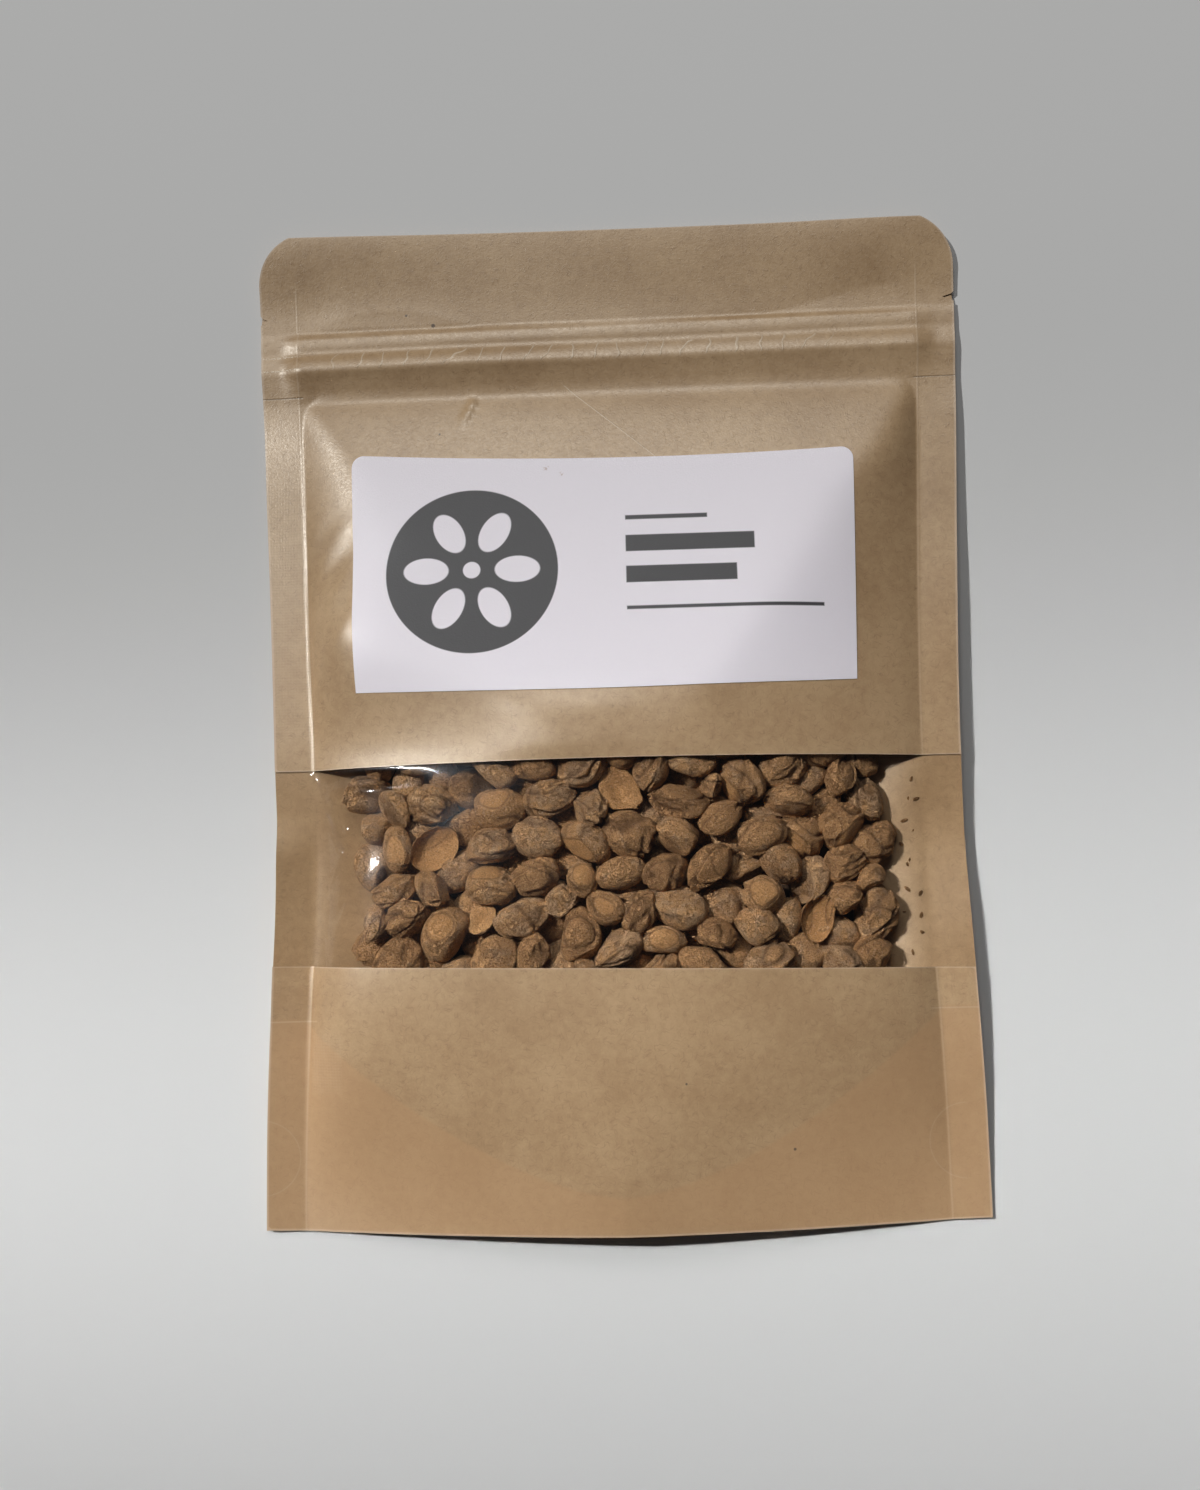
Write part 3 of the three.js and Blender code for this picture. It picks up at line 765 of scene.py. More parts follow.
def film_slack(x, drop):
    """Rise of the slack film over the tight one."""
    bottom = WINDOW_DROP + WINDOW_HEIGHT
    free = hump(1, drop, WINDOW_DROP, WINDOW_DROP + SAG["edge"], bottom - SAG["edge"], bottom)
    started = smooth(drop, WINDOW_DROP, WINDOW_DROP + STAND_OFF["start"])
    stand_off = STAND_OFF["height"] * np.clip(started - (drop - WINDOW_DROP) / WINDOW_HEIGHT, 0, 1)
    across_bell = np.exp(-(((x - STAND_OFF["middle"]) / STAND_OFF["half"]) ** 2))
    stand_off = stand_off * across_bell * smooth(x, *STAND_OFF["held"])
    between_beans = SAG["depth"] * (1 + np.sin(SAG["down"] * drop + SAG["across"] * x))
    return stand_off + hump(free * between_beans, x, *SAG["from_seal_to_seal"])


def film_height(x, drop):
    """Height of the film's upper face, without its creases."""
    return front_height(x, drop) - PAPER - FILM_BELOW_PAPER


CLEAR_TINT = rgb(0.975, 0.965, 0.95)
BLOOM_TINT = rgb(0.85, 0.92, 1)
HAZE_TINT = rgb(0.8, 0.85, 0.95)


def clear_film():
    material, shader, wire = new_material("clear_film")
    tree = material.node_tree
    ripple = millimetres(wire).noise(0.5, 3.0, 0.5)
    normal = wire.node("Bump", None, {"Height": ripple, "Strength": 0.08, "Distance": 0.0003})
    clear = wire.node("BsdfTransparent", None, {"Color": CLEAR_TINT})
    gloss = {"Color": rgb(1, 1, 1), "Roughness": 0.07, "Normal": normal}
    shine = wire.node("BsdfGlossy", None, gloss)
    soft_gloss = {"Color": BLOOM_TINT, "Roughness": 0.28, "Normal": normal}
    bloom = wire.node("BsdfGlossy", None, soft_gloss)
    haze = wire.node("BsdfDiffuse", None, {"Color": HAZE_TINT})
    edge_on = wire.node("LayerWeight", None, {"Blend": 0.5, "Normal": normal}, 1)
    tree.nodes.remove(shader)
    hazy = wire.node("MixShader", None, {0: 0.001, 1: clear, 2: haze})
    bloomed = wire.node("MixShader", None, {0: 0.004, 1: hazy, 2: bloom})
    glossy = wire.node("MixShader", None, {0: edge_on**5 * 0.5 + 0.014, 1: bloomed, 2: shine})
    tree.links.new(glossy.socket, tree.nodes["Material Output"].inputs["Surface"])
    return material


part = np.linspace(0, 1, 110)[:, None]
mid_drop = WINDOW_DROP + WINDOW_HEIGHT * part[:, 0]
x = across_pouch(width_stations(300, 6), mid_drop)
top_edge = window_edge(x, 0) - FILM_OVERLAP
bottom_edge = window_edge(x, 1) + FILM_OVERLAP
drop = top_edge + (bottom_edge - top_edge) * part
face = in_space(x, drop, film_height(x, drop) + film_slack(x, drop) + film_creases(x, drop))
film = add_sheet("clear_film", face, face - (0, 0, FILM), [clear_film()])
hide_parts("window_film")
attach(film, "root")

# ---- Freeze-dried beans
# Whole soybeans, cooked, fermented and freeze-dried, so that their skins are dull, folded
# and sunken. They lie loose in the chamber, about two deep, with some halves and skins.

BEAN_SEED = 11
BEAN_LENGTH = (8.2, 10.8)
BEAN_WIDTH = (0.66, 0.84)
BEAN_PITCH = (9.4, 7.3)
BEAN_TILT = 0.25
BEAN_SCATTER = 1.5
SMALL_BEAN_SHARE = 0.1
SMALL_BEAN = 0.72
LAYER_HEIGHTS = (5.5, 11.5)
LAYER_SHIFT = 3
HEAP_LEFT = -50.5
HEAP_RIGHT = 53.5
HEAP_RIGHT_SLANT = 5
HEAP_SLANT_LENGTH = 14
HEAP_TOP = 97
HEAP_BOTTOM = 163
# The core's top starts and stops inside the heap, at these places across and down.
CORE_ACROSS = (HEAP_LEFT + 6, HEAP_LEFT + 20, HEAP_RIGHT - 18, HEAP_RIGHT - 6)
CORE_DOWN = (HEAP_TOP - 4, HEAP_TOP + 6, HEAP_BOTTOM - 4, HEAP_BOTTOM + 4)
CORE_SHARE = 0.25
CORE_LUMP = 0.35
CORE_AT_RIM = 0.3
CORE_CLEARANCE = 0.02
# How the beans settle: each step they sink a little and push apart where they overlap.
SETTLING_STEPS = 260
STEPS_BETWEEN_SEARCHES = 12
SINKING = 0.06
PUSHING = 0.3
LONGEST_PUSH = 0.5
PACKING = 0.97
FILM_CLEARANCE = 0.1
# For each kind of bean, how many flats, dents and creases it has, and how wrinkled it is.
BEAN_KINDS = {
    "plump": (2, 1, 2, 0.04), "flattened": (3, 1, 3, 0.06), "dented": (2, 3, 3, 0.06),
    "creased": (2, 1, 5, 0.06), "wrinkled": (2, 1, 3, 0.12), "windowed": (2, 0, 2, 0.05),
    "torn": (2, 1, 2, 0.07), "split": (1, 0, 1, 0.03), "skin": (0, 0, 2, 0.04), "buried": (2, 1, 2, 0.03),
}


def core_height(x, drop):
    """Top of the plain core under the visible beans."""
    floor = back_face(x, drop) + CORE_CLEARANCE
    inside = hump(hump(1, x, *CORE_ACROSS), drop, *CORE_DOWN)
    along_rows = np.sin(x * 0.9 + 1.7 * np.sin(drop * 0.6))
    down_rows = np.sin(drop * 0.8 + 1.3 * np.sin(x * 0.5))
    lumps = CORE_LUMP * along_rows * down_rows
    return floor + CORE_AT_RIM + inside * (CORE_SHARE * (film_height(x, drop) - floor) + lumps)


def settled_beans(chance):
    """Centres, long axes and sizes of beans after they sink and push each other apart."""
    across = np.arange(HEAP_LEFT + 4, HEAP_RIGHT - 2, BEAN_PITCH[0])
    down = np.arange(HEAP_TOP + 2, HEAP_BOTTOM - 1, BEAN_PITCH[1])
    layers = []
    for layer, height in enumerate(LAYER_HEIGHTS):
        shift = LAYER_SHIFT * layer
        grid_x, grid_drop = np.meshgrid(across + shift, down + shift)
        grid_height = np.full(grid_x.size, height)
        layers.append(np.stack([grid_x.ravel(), grid_drop.ravel(), grid_height], 1))
    centre = np.concatenate(layers)
    centre[:, :2] += chance.uniform(-BEAN_SCATTER, BEAN_SCATTER, (len(centre), 2))
    length = chance.uniform(*BEAN_LENGTH, len(centre))
    length *= np.where(chance.random(len(centre)) < SMALL_BEAN_SHARE, SMALL_BEAN, 1)
    width = length * chance.uniform(*BEAN_WIDTH, len(centre))
    turn = chance.uniform(0, math.pi, len(centre))
    axis = np.stack([np.cos(turn), np.sin(turn), chance.normal(0, BEAN_TILT, len(centre))], 1)
    axis /= np.linalg.norm(axis, axis=1, keepdims=True)
    radius = np.repeat(width * 0.5 * PACKING, 3)
    owner = np.repeat(np.arange(len(centre)), 3)
    others = owner[:, None] < owner[None, :]
    offsets = ((length - width) / 2)[:, None] * np.array([-1, 0, 1])[None, :]
    for step in range(SETTLING_STEPS):
        balls = (centre[:, None, :] + offsets[:, :, None] * axis[:, None, :]).reshape(-1, 3)
        if step % STEPS_BETWEEN_SEARCHES == 0:
            gaps = abs(balls[:, None, :2] - balls[None, :, :2]).max(-1)
            first, second = np.nonzero(others & (gaps < BEAN_LENGTH[1]))
            reach = radius[first] + radius[second]
        between = balls[first] - balls[second]
        apart = np.sqrt((between**2).sum(1)) + 1e-6
        push = PUSHING * between * (np.maximum(reach - apart, 0) / apart)[:, None]
        moved = np.zeros_like(balls)
        for way in range(3):
            pushed_one_way = np.bincount(first, push[:, way], len(balls))
            pushed_back = np.bincount(second, push[:, way], len(balls))
            moved[:, way] = pushed_one_way - pushed_back
        balls = balls + np.clip(moved, -LONGEST_PUSH, LONGEST_PUSH)
        balls[:, 2] -= SINKING
        ragged = 1.6 * np.sin(balls[:, 1] * 0.42) + 1.2 * np.sin(balls[:, 1] * 0.97 + 1)
        slanting = 1 - smooth(balls[:, 1], WINDOW_DROP, WINDOW_DROP + HEAP_SLANT_LENGTH)
        right = HEAP_RIGHT - HEAP_RIGHT_SLANT * slanting
        balls[:, 0] = np.clip(balls[:, 0], HEAP_LEFT + ragged + radius, right + ragged - radius)
        balls[:, 1] = np.clip(balls[:, 1], HEAP_TOP + radius, HEAP_BOTTOM - radius)
        ceiling = film_height(balls[:, 0], balls[:, 1]) - FILM_CLEARANCE - radius
        floor = core_height(balls[:, 0], balls[:, 1]) + radius * 0.85
        balls[:, 2] = np.minimum(np.maximum(balls[:, 2], floor), ceiling)
        balls = balls.reshape(-1, 3, 3)
        centre = balls.mean(1)
        axis = (balls[:, 2] - balls[:, 0] + 0.01 * axis) * (1, 1, 0.97)
        axis /= np.linalg.norm(axis, axis=1, keepdims=True)
    return centre, axis, length, width


def ripples(points, chance, count, slow, fast):
    """Smooth noise over points on a ball, as a sum of sine waves. Its spread is about 0.7."""
    waves = chance.normal(0, 1, (count, 3))
    waves *= chance.uniform(slow, fast, (count, 1)) / np.linalg.norm(waves, axis=1, keepdims=True)
    phases = chance.uniform(0, 2 * math.pi, count)
    return np.sin(points @ waves.T + phases).sum(1) / math.sqrt(count)


def ball_template(level):
    """Points and triangles of an even ball of radius 1."""
    bm = bmesh.new()
    bmesh.ops.create_icosphere(bm, subdivisions=level, radius=1)
    points = np.array([vertex.co[:] for vertex in bm.verts])
    faces = np.array([[vertex.index for vertex in face.verts] for face in bm.faces])
    bm.free()
    return points, faces


def unit(vector):
    return vector / np.linalg.norm(vector)


# How a skin dries, in parts of a bean's radius: how far out a flat cuts and how much of the
# bean beyond it goes, how wide and deep a dent is, and how wide and deep a crease is.
FLAT_PLACE = (0.66, 0.86)
FLAT_CUT = 0.85
FLAT_SHARPNESS = 22
DENT_WIDTH = (0.4, 0.8)
DENT_DEPTH = (0.12, 0.26)
CREASE_BREADTH = (0.06, 0.13)
CREASE_DEPTH = (0.05, 0.12)
# Where the skin is torn open: the rim's place, and the flat of the bare bean inside it.
TEAR_PLACE = (0.66, 0.8)
BARE_FLAT = {"windowed": 0.72, "torn": 0.82}
# A split bean's cut face, with the hollow in its middle.
SPLIT_FACE = 0.12
SPLIT_HOLLOW = 0.42
# A loose skin is a shallow cup.
SKIN_RIM = 0.17
SKIN_HOLLOW = 0.75
LARGEST_BEND = 0.2


def bean_shape(ball, kind, chance):
    """A bean of radius about 1, the painted shade of its hollows and how bare of skin it is at each point.
    """
    drawn_out = ball * (0.6, 1, 1)
    warped = drawn_out + 0.2 * np.stack([ripples(ball, chance, 5, 1.5, 3.5) for _ in range(3)], axis=1)
    points = ball * (1 + 0.035 * ripples(warped, chance, 6, 1.5, 3))[:, None]
    flats, dents, creases, wrinkle = BEAN_KINDS[kind]
    for _ in range(flats):
        toward = unit(chance.normal(0, 1, 3))
        beyond = points @ toward - chance.uniform(*FLAT_PLACE)
        over = np.logaddexp(0, FLAT_SHARPNESS * beyond) / FLAT_SHARPNESS
        points = points - FLAT_CUT * over[:, None] * toward
    # Painted shade that darkens the bean's hollows: its dents, crease valleys and the rim of a tear.
    hollow_shade = np.zeros(len(ball))
    for _ in range(dents):
        toward = unit(chance.normal(0, 1, 3) + (0, 0, 0.8))
        facing = warped @ toward / np.linalg.norm(drawn_out, axis=1)
        near = smooth(facing, chance.uniform(*DENT_WIDTH), 1)
        points = points - chance.uniform(*DENT_DEPTH) * near[:, None] * toward
        hollow_shade = hollow_shade + 0.3 * near
    relief = np.zeros(len(ball))
    for _ in range(creases):
        line = abs(ripples(warped, chance, 3, 1.2, 3.4))
        where = smooth(ripples(ball, chance, 3, 1.2, 2.2), -0.3, 0.4)
        width = chance.uniform(*CREASE_BREADTH)
        depth = where * chance.uniform(*CREASE_DEPTH)
        valley = np.exp(-line / width)
        lips = np.exp(-(((line - 2.6 * width) / (1.3 * width)) ** 2))
        relief = relief + depth * (0.8 * lips - valley)
        hollow_shade = hollow_shade + where * valley
    ridges = 1 - np.minimum(1.5 * abs(ripples(warped, chance, 6, 4, 8)), 1)
    rough = smooth(ripples(ball, chance, 3, 1.5, 3), -0.4, 0.5)
    relief = relief + wrinkle * rough * (ridges**2 - 0.3)
    relief = relief + 0.006 * ripples(warped, chance, 10, 10, 20)
    bare = np.zeros(len(ball))
    if kind in ("windowed", "torn"):
        toward = unit(chance.normal(0, 0.45, 3) + (0, 0, 1))
        rim = unit(toward * (0.7, 1, 1))
        edge = (ball * (0.8, 1, 1)) @ rim - chance.uniform(*TEAR_PLACE)
        edge = edge + 0.04 * ripples(ball, chance, 5, 4, 9)
        bare = smooth(edge, 0, 0.05)
        floor = np.maximum(points @ toward - BARE_FLAT[kind], 0)
        points = points - (0.5 * bare * floor)[:, None] * toward
        crinkle = 0.6 + 0.4 * ripples(ball, chance, 5, 5, 11)
        relief = relief * (1 - 0.8 * bare) + 0.07 * crinkle * np.exp(-(((edge + 0.03) / 0.04) ** 2))
        hollow_shade = hollow_shade * (1 - bare) + 0.8 * np.exp(-(((edge - 0.05) / 0.03) ** 2))
    points = points + ball * relief[:, None]
    if kind == "split":
        inward = np.exp(-1.7 * ((points[:, 0] / 0.75) ** 2 + (points[:, 1] / 0.62) ** 2))
        cut_face = SPLIT_FACE - SPLIT_HOLLOW * inward + 0.02 * ripples(ball, chance, 5, 3, 6)
        lid = np.minimum(points[:, 2], cut_face)
        bare = np.where(lid < points[:, 2], 1.0, bare)
        points = np.stack([points[:, 0], points[:, 1], lid], axis=1)
    if kind == "skin":
        outside = np.clip(1 - points[:, 0] ** 2 - points[:, 1] ** 2, 0, 1)
        above = points[:, 2] > 0
        bare = np.where(above, 1.0, 0.0)
        lid = np.where(above, SKIN_RIM - SKIN_HOLLOW * np.sqrt(outside), points[:, 2])
        points = np.stack([points[:, 0], points[:, 1], lid], axis=1)
    bend = chance.uniform(-LARGEST_BEND, LARGEST_BEND)
    points = points + np.stack([0 * bare, bend * (points[:, 0] ** 2 - 0.4), 0 * bare], axis=1)
    return points, np.clip(hollow_shade, 0, 1), bare


SKIN_DARK = rgb(0.55, 0.3, 0.125)
SKIN_LIGHT = rgb(0.72, 0.415, 0.185)
BLOOM = rgb(0.62, 0.45, 0.3)
BARE_BEAN = rgb(0.66, 0.34, 0.12)
PALE_GRAIN = rgb(0.88, 0.66, 0.45)
DARK_GRAIN = rgb(0.26, 0.13, 0.054)
FOLD_SHADE_BROWN = rgb(0.2, 0.095, 0.038)
HOLLOW_SHADE_BROWN = rgb(0.12, 0.052, 0.02)
CORE_SHADE_DARK = rgb(0.07, 0.036, 0.018)


def dried_bean():
    material, shader, wire = new_material("dried_bean")
    place = millimetres(wire)
    tone = stored(wire, "tone")
    bare = stored(wire, "bare")
    hollow_shade = stored(wire, "hollow_shade")
    patch = place.noise(0.45, 3.0, 0.3)
    pucker = place.noise(1.5, 4.0, 0.5)
    grain = place.noise(3.5, 4.0)
    fold = (abs(place.noise(0.8, 3.0, 1.0) - 0.5) * 2).between(0.08, 0) * (1 - bare * 0.5)
    wrinkle = (abs(place.noise(1.7, 3.0, 1.2) - 0.5) * 2).between(0.11, 0) * (1 - bare * 0.5)
    skin = tone.mixed(SKIN_DARK, SKIN_LIGHT)
    bloom = (patch + tone * 0.3 - 0.08).between(0.55, 0.8) * (1 - bare) * 0.45
    skin = bloom.mixed(skin, BLOOM)
    skin = (bare * 0.4).mixed(skin, BARE_BEAN)
    skin = (grain.between(0.53, 0.72) * 0.4).mixed(skin, PALE_GRAIN)
    skin = (grain.between(0.47, 0.28) * 0.35).mixed(skin, DARK_GRAIN)
    # Painted shade: fold and wrinkle lines are darkened as if shaded inside them.
    skin = (fold * 0.45 + wrinkle * 0.28).mixed(skin, FOLD_SHADE_BROWN)
    # Painted shade: dents, crease valleys and torn rims are darkened as shade in hollows.
    skin = (hollow_shade * 0.7).mixed(skin, HOLLOW_SHADE_BROWN)
    bump = patch * 0.4 + pucker * 0.5 + grain * 0.35 - fold * 0.6 - wrinkle * 0.4
    normal = wire.node("Bump", None, {"Height": bump, "Strength": 1.0, "Distance": 0.0005})
    roughness = 0.66 - bare * 0.2
    feed(shader, Base_Color=skin, Roughness=roughness, Specular_IOR_Level=0.4, Normal=normal)
    return material


# A near-black material that paints the shade deep between the beans.
def shaded_bean_core():
    material, shader, _ = new_material("shaded_bean_core")
    feed(shader, Base_Color=CORE_SHADE_DARK, Roughness=0.9)
    return material


PRESSED_CLEARANCE = 0.05


def pressed(points):
    """The same points, kept between the back panel and the film."""
    drop = TOP_Y - points[:, 1]
    ceiling = film_height(points[:, 0], drop) - FILM - PRESSED_CLEARANCE
    floor = back_face(points[:, 0], drop) + PRESSED_CLEARANCE
    points[:, 2] = np.minimum(np.maximum(points[:, 2], floor), ceiling)
    return points


chance = np.random.default_rng(BEAN_SEED)
centres, axes, lengths, widths = settled_beans(chance)
# Beans that show in the window, or near its edge, lie within this depth of the film.
SEEN_MARGIN = 4
SEEN_DEPTH = 5.6
below_top = centres[:, 1] > WINDOW_DROP - SEEN_MARGIN
above_bottom = centres[:, 1] < WINDOW_DROP + WINDOW_HEIGHT + SEEN_MARGIN
depth_under_film = film_height(centres[:, 0], centres[:, 1]) - centres[:, 2]
seen = below_top & above_bottom & (depth_under_film < SEEN_DEPTH)
SEEN_ORDER = [
    "creased", "flattened", "windowed", "wrinkled", "dented", "plump",
    "creased", "torn", "wrinkled", "flattened", "dented", "windowed",
    "creased", "torn", "plump", "wrinkled", "flattened", "dented",
    "creased", "windowed", "flattened", "wrinkled", "split", "dented",
    "creased", "torn", "wrinkled", "plump", "windowed", "skin",
]
BEAN_THICKNESS = (0.78, 0.95)
# Half a bean's length, with a little more because the beans press into each other.
HALF_WITH_OVERLAP = 0.52
BEAN_ROLL = 0.5
templates = {True: ball_template(5), False: ball_template(4)}
groups = {}
turn_count = 0
for number in range(len(centres)):
    kind = SEEN_ORDER[turn_count % len(SEEN_ORDER)] if seen[number] else "buried"
    turn_count += int(seen[number])
    ball, triangles = templates[bool(seen[number])]
    points, hollow_shade, bare = bean_shape(ball, kind, chance)
    thick = chance.uniform(*BEAN_THICKNESS)
    half = np.array([lengths[number], widths[number], widths[number] * thick]) * HALF_WITH_OVERLAP
    along = axes[number] * (1, -1, 1)
    side = unit(np.cross((0, 0, 1), along))
    up = np.cross(along, side)
    roll = chance.normal(0, BEAN_ROLL)
    rolled_side = side * math.cos(roll) + up * math.sin(roll)
    rolled_up = up * math.cos(roll) - side * math.sin(roll)
    centre_x, centre_drop, height = centres[number]
    turned = (points * half) @ np.stack([along, rolled_side, rolled_up])
    placed = turned + (centre_x, TOP_Y - centre_drop, height)
    if kind not in groups:
        groups[kind] = {"points": [], "faces": [], "tone": [], "hollow_shade": [], "bare": [], "count": 0}
    group = groups[kind]
    group["points"].append(pressed(placed))
    group["faces"].append(triangles + group["count"])
    group["tone"].append(np.full(len(ball), chance.uniform(0, 1)))
    group["hollow_shade"].append(hollow_shade)
    group["bare"].append(bare)
    group["count"] += len(ball)

bean_material = dried_bean()
for kind, group in groups.items():
    points, faces = np.concatenate(group["points"]), np.concatenate(group["faces"])
    piece = add_mesh(f"beans_{kind}", points, faces, [bean_material])
    for name in ("tone", "hollow_shade", "bare"):
        store(piece, name, np.concatenate(group[name]))
    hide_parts("natto_beans")
    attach(piece, "root")

# Crumbs of broken skin lie on the back panel between the heap and the right-hand seal.
CRUMB_COUNT = 14
CRUMB_SIZE = (0.25, 0.6)
CRUMB_SHAPE = (1, 0.55, 0.35)
CRUMB_LUMPS = 0.25
# The strip they lie in: its left and right sides, and the drops of its top and bottom.
CRUMB_STRIP = (54.5, 58.8, 113, 148)

ball, triangles = ball_template(3)
crumb_points = []
crumb_faces = []
for number in range(CRUMB_COUNT):
    low_x, high_x, low_drop, high_drop = CRUMB_STRIP
    x = chance.uniform(low_x, high_x)
    drop = low_drop + (high_drop - low_drop) * (number + chance.uniform(0, 1)) / CRUMB_COUNT
    turn = chance.uniform(0, math.pi)
    half = chance.uniform(*CRUMB_SIZE) * np.array(CRUMB_SHAPE)
    points = ball * (1 + CRUMB_LUMPS * ripples(ball, chance, 5, 1.5, 4))[:, None] * half
    cosine, sine = math.cos(turn), math.sin(turn)
    points = points @ np.array([[cosine, sine, 0], [-sine, cosine, 0], [0, 0, 1]])
    crumb_points.append(points + (x, TOP_Y - drop, back_face(x, drop) + half[2]))
    crumb_faces.append(triangles + number * len(ball))
points, faces = np.concatenate(crumb_points), np.concatenate(crumb_faces)
crumbs = add_mesh("bean_crumbs", points, faces, [bean_material])
# Crumbs are darkened with the same value that paints shade into the beans' hollows.
for name, value in (("tone", 0), ("hollow_shade", 0.7), ("bare", 0)):
    store(crumbs, name, np.full(len(points), value))
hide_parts("natto_beans")
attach(crumbs, "root")

# The core is a plain lump of beans painted near black, as painted shade that only shows as depth between
# the seen ones.
core_x = np.linspace(HEAP_LEFT + 5, HEAP_RIGHT - 8, 70)[None, :]
core_drop = np.linspace(HEAP_TOP + 1, HEAP_BOTTOM - 3, 44)[:, None]
x = core_x + 0 * core_drop
drop = core_drop + 0 * core_x
core_top = in_space(x, drop, core_height(x, drop))
core_underside = in_space(x, drop, back_face(x, drop) + CORE_CLEARANCE)
core = add_sheet("shaded_bean_core", core_top, core_underside, [shaded_bean_core()])
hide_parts("natto_beans")
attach(core, "root")

# ---- Label
# A printed self-adhesive sheet of satin white paper, cut by hand and stuck across the
# front panel above the window.

LABEL_MIDDLE = (-1.3, 72.5)
# The left and right edges: x at the top and at the bottom. The other two are shallow arcs:
# the drop in the middle, then how much it falls away and bends toward either corner.
LABEL_LEFT = (-51.2, -49.7)
LABEL_RIGHT = (48.4, 47.1)
LABEL_TOP = (48.9, 0.7, -1.4)
LABEL_BOTTOM = (96.2, -0.15, -1.05)
LABEL_SIDE = 46
LABEL_CORNER = 2.4
LABEL_THICKNESS = 0.15
LABEL_LIFT = 0.05
DISC_MIDDLE = (-25.5, 0.6)
DISC_RADIUS = 16.8
PETALS = 6
PETAL_REACH = 8.9
PETAL_SIZE = (4.4, 2.7)
# Printed bars: middle across and up from the label's middle, half length, half height.
BARS = [
    (12.5, 10.6, 8, 0.45), (17, 5.2, 12.5, 1.7), (15.2, -1.2, 10.7, 1.7), (23.5, -8, 19, 0.35),
]
PRINT_EDGE = 0.12
DISC_HOLE = 1.7
LABEL_WHITE = rgb(0.92, 0.87, 0.92)
INK_BLACK = rgb(0.052, 0.05, 0.052)
INK_WORN = rgb(0.16, 0.155, 0.16)
STAIN_BROWN = rgb(0.42, 0.22, 0.13)
# Two faint brown stains near its top edge: across, down and radius.
LABEL_STAINS = [(-12.2, 50.8, 0.9), (-9.3, 52.2, 0.7)]


def inside_shape(outward):
    """1 inside a printed shape and 0 outside, from a distance in mm that grows outward."""
    return outward.between(PRINT_EDGE, -PRINT_EDGE)


def satin_label():
    material, shader, wire = new_material("label_paper")
    place = millimetres(wire)
    x, y = across_and_up(place)
    across = x - LABEL_MIDDLE[0]
    upward = y - (TOP_Y - LABEL_MIDDLE[1])
    from_x = across - DISC_MIDDLE[0]
    from_y = upward - DISC_MIDDLE[1]
    radius = distance(from_x, from_y)
    angle = from_y.math("ARCTAN2", from_x)
    sector = 2 * math.pi / PETALS
    turned = angle.math("WRAP", sector / 2, -sector / 2)
    petal_x = (radius * turned.math("COSINE") - PETAL_REACH) / PETAL_SIZE[0]
    petal_y = radius * turned.math("SINE") / PETAL_SIZE[1]
    petal = inside_shape((distance(petal_x, petal_y) - 1) * PETAL_SIZE[1])
    printed = inside_shape(radius - DISC_RADIUS) * (1 - petal)
    printed = printed * (1 - inside_shape(radius - DISC_HOLE))
    for bar_x, bar_y, half_length, half_height in BARS:
        beyond_end = abs(across - bar_x) - half_length
        beyond_side = abs(upward - bar_y) - half_height
        printed = printed + inside_shape(beyond_end.math("MAXIMUM", beyond_side))
    grain = place.noise(3.0, 3.0)
    flecks = place.noise(6.0, 2.0).between(0.66, 0.74)
    ink = (flecks * 0.25).mixed(INK_BLACK, INK_WORN)
    colour = printed.mixed(LABEL_WHITE, ink)
    stained = 0
    for stain_x, stain_drop, size in LABEL_STAINS:
        from_x = across + LABEL_MIDDLE[0] - stain_x
        from_y = upward + stain_drop - LABEL_MIDDLE[1]
        stained = stained + distance(from_x, from_y).between(size, size * 0.3)
    stained = stained * place.noise(2.2, 3.0).between(0.5, 0.62)
    colour = (stained * 0.45).mixed(colour, STAIN_BROWN)
    normal = wire.node("Bump", None, {"Height": grain, "Strength": 0.5, "Distance": 0.0001})
    roughness = 0.52 - printed * 0.04
    feed(shader, Base_Color=colour, Roughness=roughness, Specular_IOR_Level=0.6, Normal=normal)
    return material


def arc(edge, across):
    """Drop along one of the label's long edges, from -1 at the left to 1 at the right."""
    middle, tilt, sag = edge
    return middle + tilt * across + sag * across**2


across = np.linspace(-1, 1, 150)[None, :]
corner_rows = LABEL_CORNER * np.linspace(0, 1, 12) ** 2
from_top = np.concatenate([corner_rows, np.linspace(LABEL_CORNER, LABEL_SIDE, 80)[1:]])
down = (from_top / LABEL_SIDE)[:, None]
above_centre = np.maximum(LABEL_CORNER - from_top, 0)
corner_inset = LABEL_CORNER - np.sqrt(LABEL_CORNER**2 - above_centre**2)[:, None]
left = LABEL_LEFT[0] + (LABEL_LEFT[1] - LABEL_LEFT[0]) * down + corner_inset
right = LABEL_RIGHT[0] + (LABEL_RIGHT[1] - LABEL_RIGHT[0]) * down - corner_inset
x = left + (right - left) * (across + 1) / 2
drop = arc(LABEL_TOP, across) * (1 - down) + arc(LABEL_BOTTOM, across) * down
face = in_space(x, drop, front_height(x, drop) + LABEL_THICKNESS + LABEL_LIFT)
label = add_sheet("label_sheet", face, face - (0, 0, LABEL_THICKNESS), [satin_label()])
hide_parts("label")
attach(label, "root")

# ---- Table, light and camera
# The pouch lies on a pale matt table. A low sun shines from the upper left, a soft light
# stands behind the pouch's top, and the camera looks down on it.

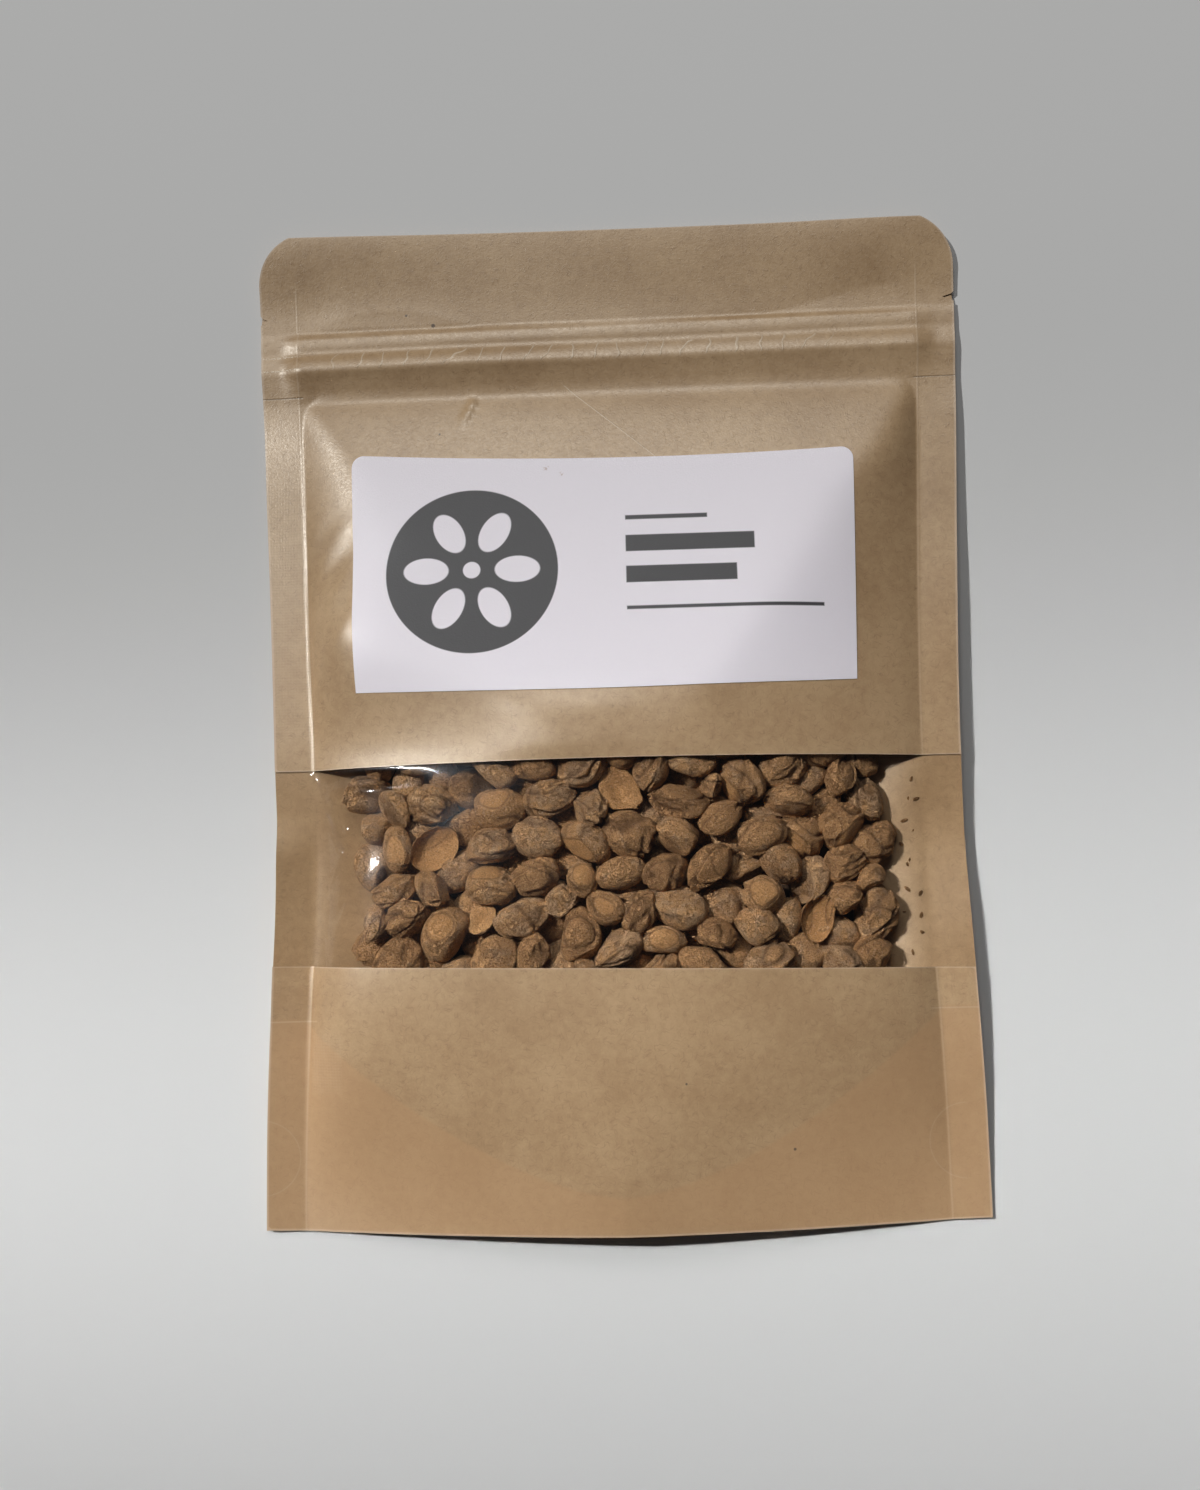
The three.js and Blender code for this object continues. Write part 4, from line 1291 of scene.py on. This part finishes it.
TABLE_SIZE = 6
SUN_DIRECTION = np.array([-0.58, 0.31, 0.755])
SUN_STRENGTH = 1.5
SUN_SPREAD = math.radians(1.2)
FILL_DIRECTION = (-0.05, 0.66, 0.75)
FILL_POWER = 6.6
FILL_DISTANCE = 1.7
BAND_POWER = 0.22
BAND_PLACE = (0, -0.078, 0)
BAND_SPREAD = math.radians(14)
ROOM_GREY = (0.02, 0.02, 0.021, 1)
LENS = 41.07
SENSOR_WIDTH = 36
CAMERA_PLACE = (0.00888, -0.04032, 0.33571)
CAMERA_TURN = (math.radians(5.848), math.radians(2.188), math.radians(-1.369))

bpy.ops.mesh.primitive_plane_add(size=TABLE_SIZE)
table = bpy.context.object
table.name = "table"
material, shader, wire = new_material("table")
feed(shader, Base_Color=rgb(0.7, 0.7, 0.69), Roughness=0.9)
table.data.materials.append(material)


def add_lamp(name, kind, energy, target, direction, away, **settings):
    """A lamp that stands away from a target in a direction, and shines at it."""
    lamp = bpy.data.lights.new(name, kind)
    lamp.energy = energy
    for setting, value in settings.items():
        setattr(lamp, setting, value)
    holder = bpy.data.objects.new(name, lamp)
    toward = Vector(direction).normalized()
    holder.location = Vector(target) + away * toward
    holder.rotation_euler = toward.to_track_quat("Z", "Y").to_euler()
    bpy.context.scene.collection.objects.link(holder)
    return holder


add_lamp("key", "SUN", SUN_STRENGTH, (0, 0, 0), SUN_DIRECTION, 2, angle=SUN_SPREAD)
# A second, narrow beam from the same side lays a brighter band across the table's lower half.
band_lamp = add_lamp(
    "band", "AREA", BAND_POWER, BAND_PLACE, SUN_DIRECTION, 1,
    shape="RECTANGLE", size=0.9, size_y=0.07, spread=BAND_SPREAD,
)
toward = Vector(SUN_DIRECTION).normalized()
long_way = (Vector((1, 0, 0)) - toward.x * toward).normalized()
band_lamp.matrix_world = Matrix.Translation(band_lamp.location) @ Matrix(
    (long_way, toward.cross(long_way), toward)
).transposed().to_4x4()
add_lamp(
    "fill", "AREA", FILL_POWER, (0, 0, 0), FILL_DIRECTION, FILL_DISTANCE,
    shape="RECTANGLE", size=0.7, size_y=0.5,
)

world = bpy.data.worlds.new("studio")
world.use_nodes = True
world.node_tree.nodes["Background"].inputs["Color"].default_value = ROOM_GREY
bpy.context.scene.world = world

view = bpy.data.cameras.new("camera")
view.lens = LENS
view.sensor_width = SENSOR_WIDTH
camera = bpy.data.objects.new("camera", view)
camera.location = CAMERA_PLACE
camera.rotation_euler = CAMERA_TURN
bpy.context.scene.collection.objects.link(camera)
bpy.context.scene.camera = camera
bpy.context.scene.view_settings.view_transform = "Standard"
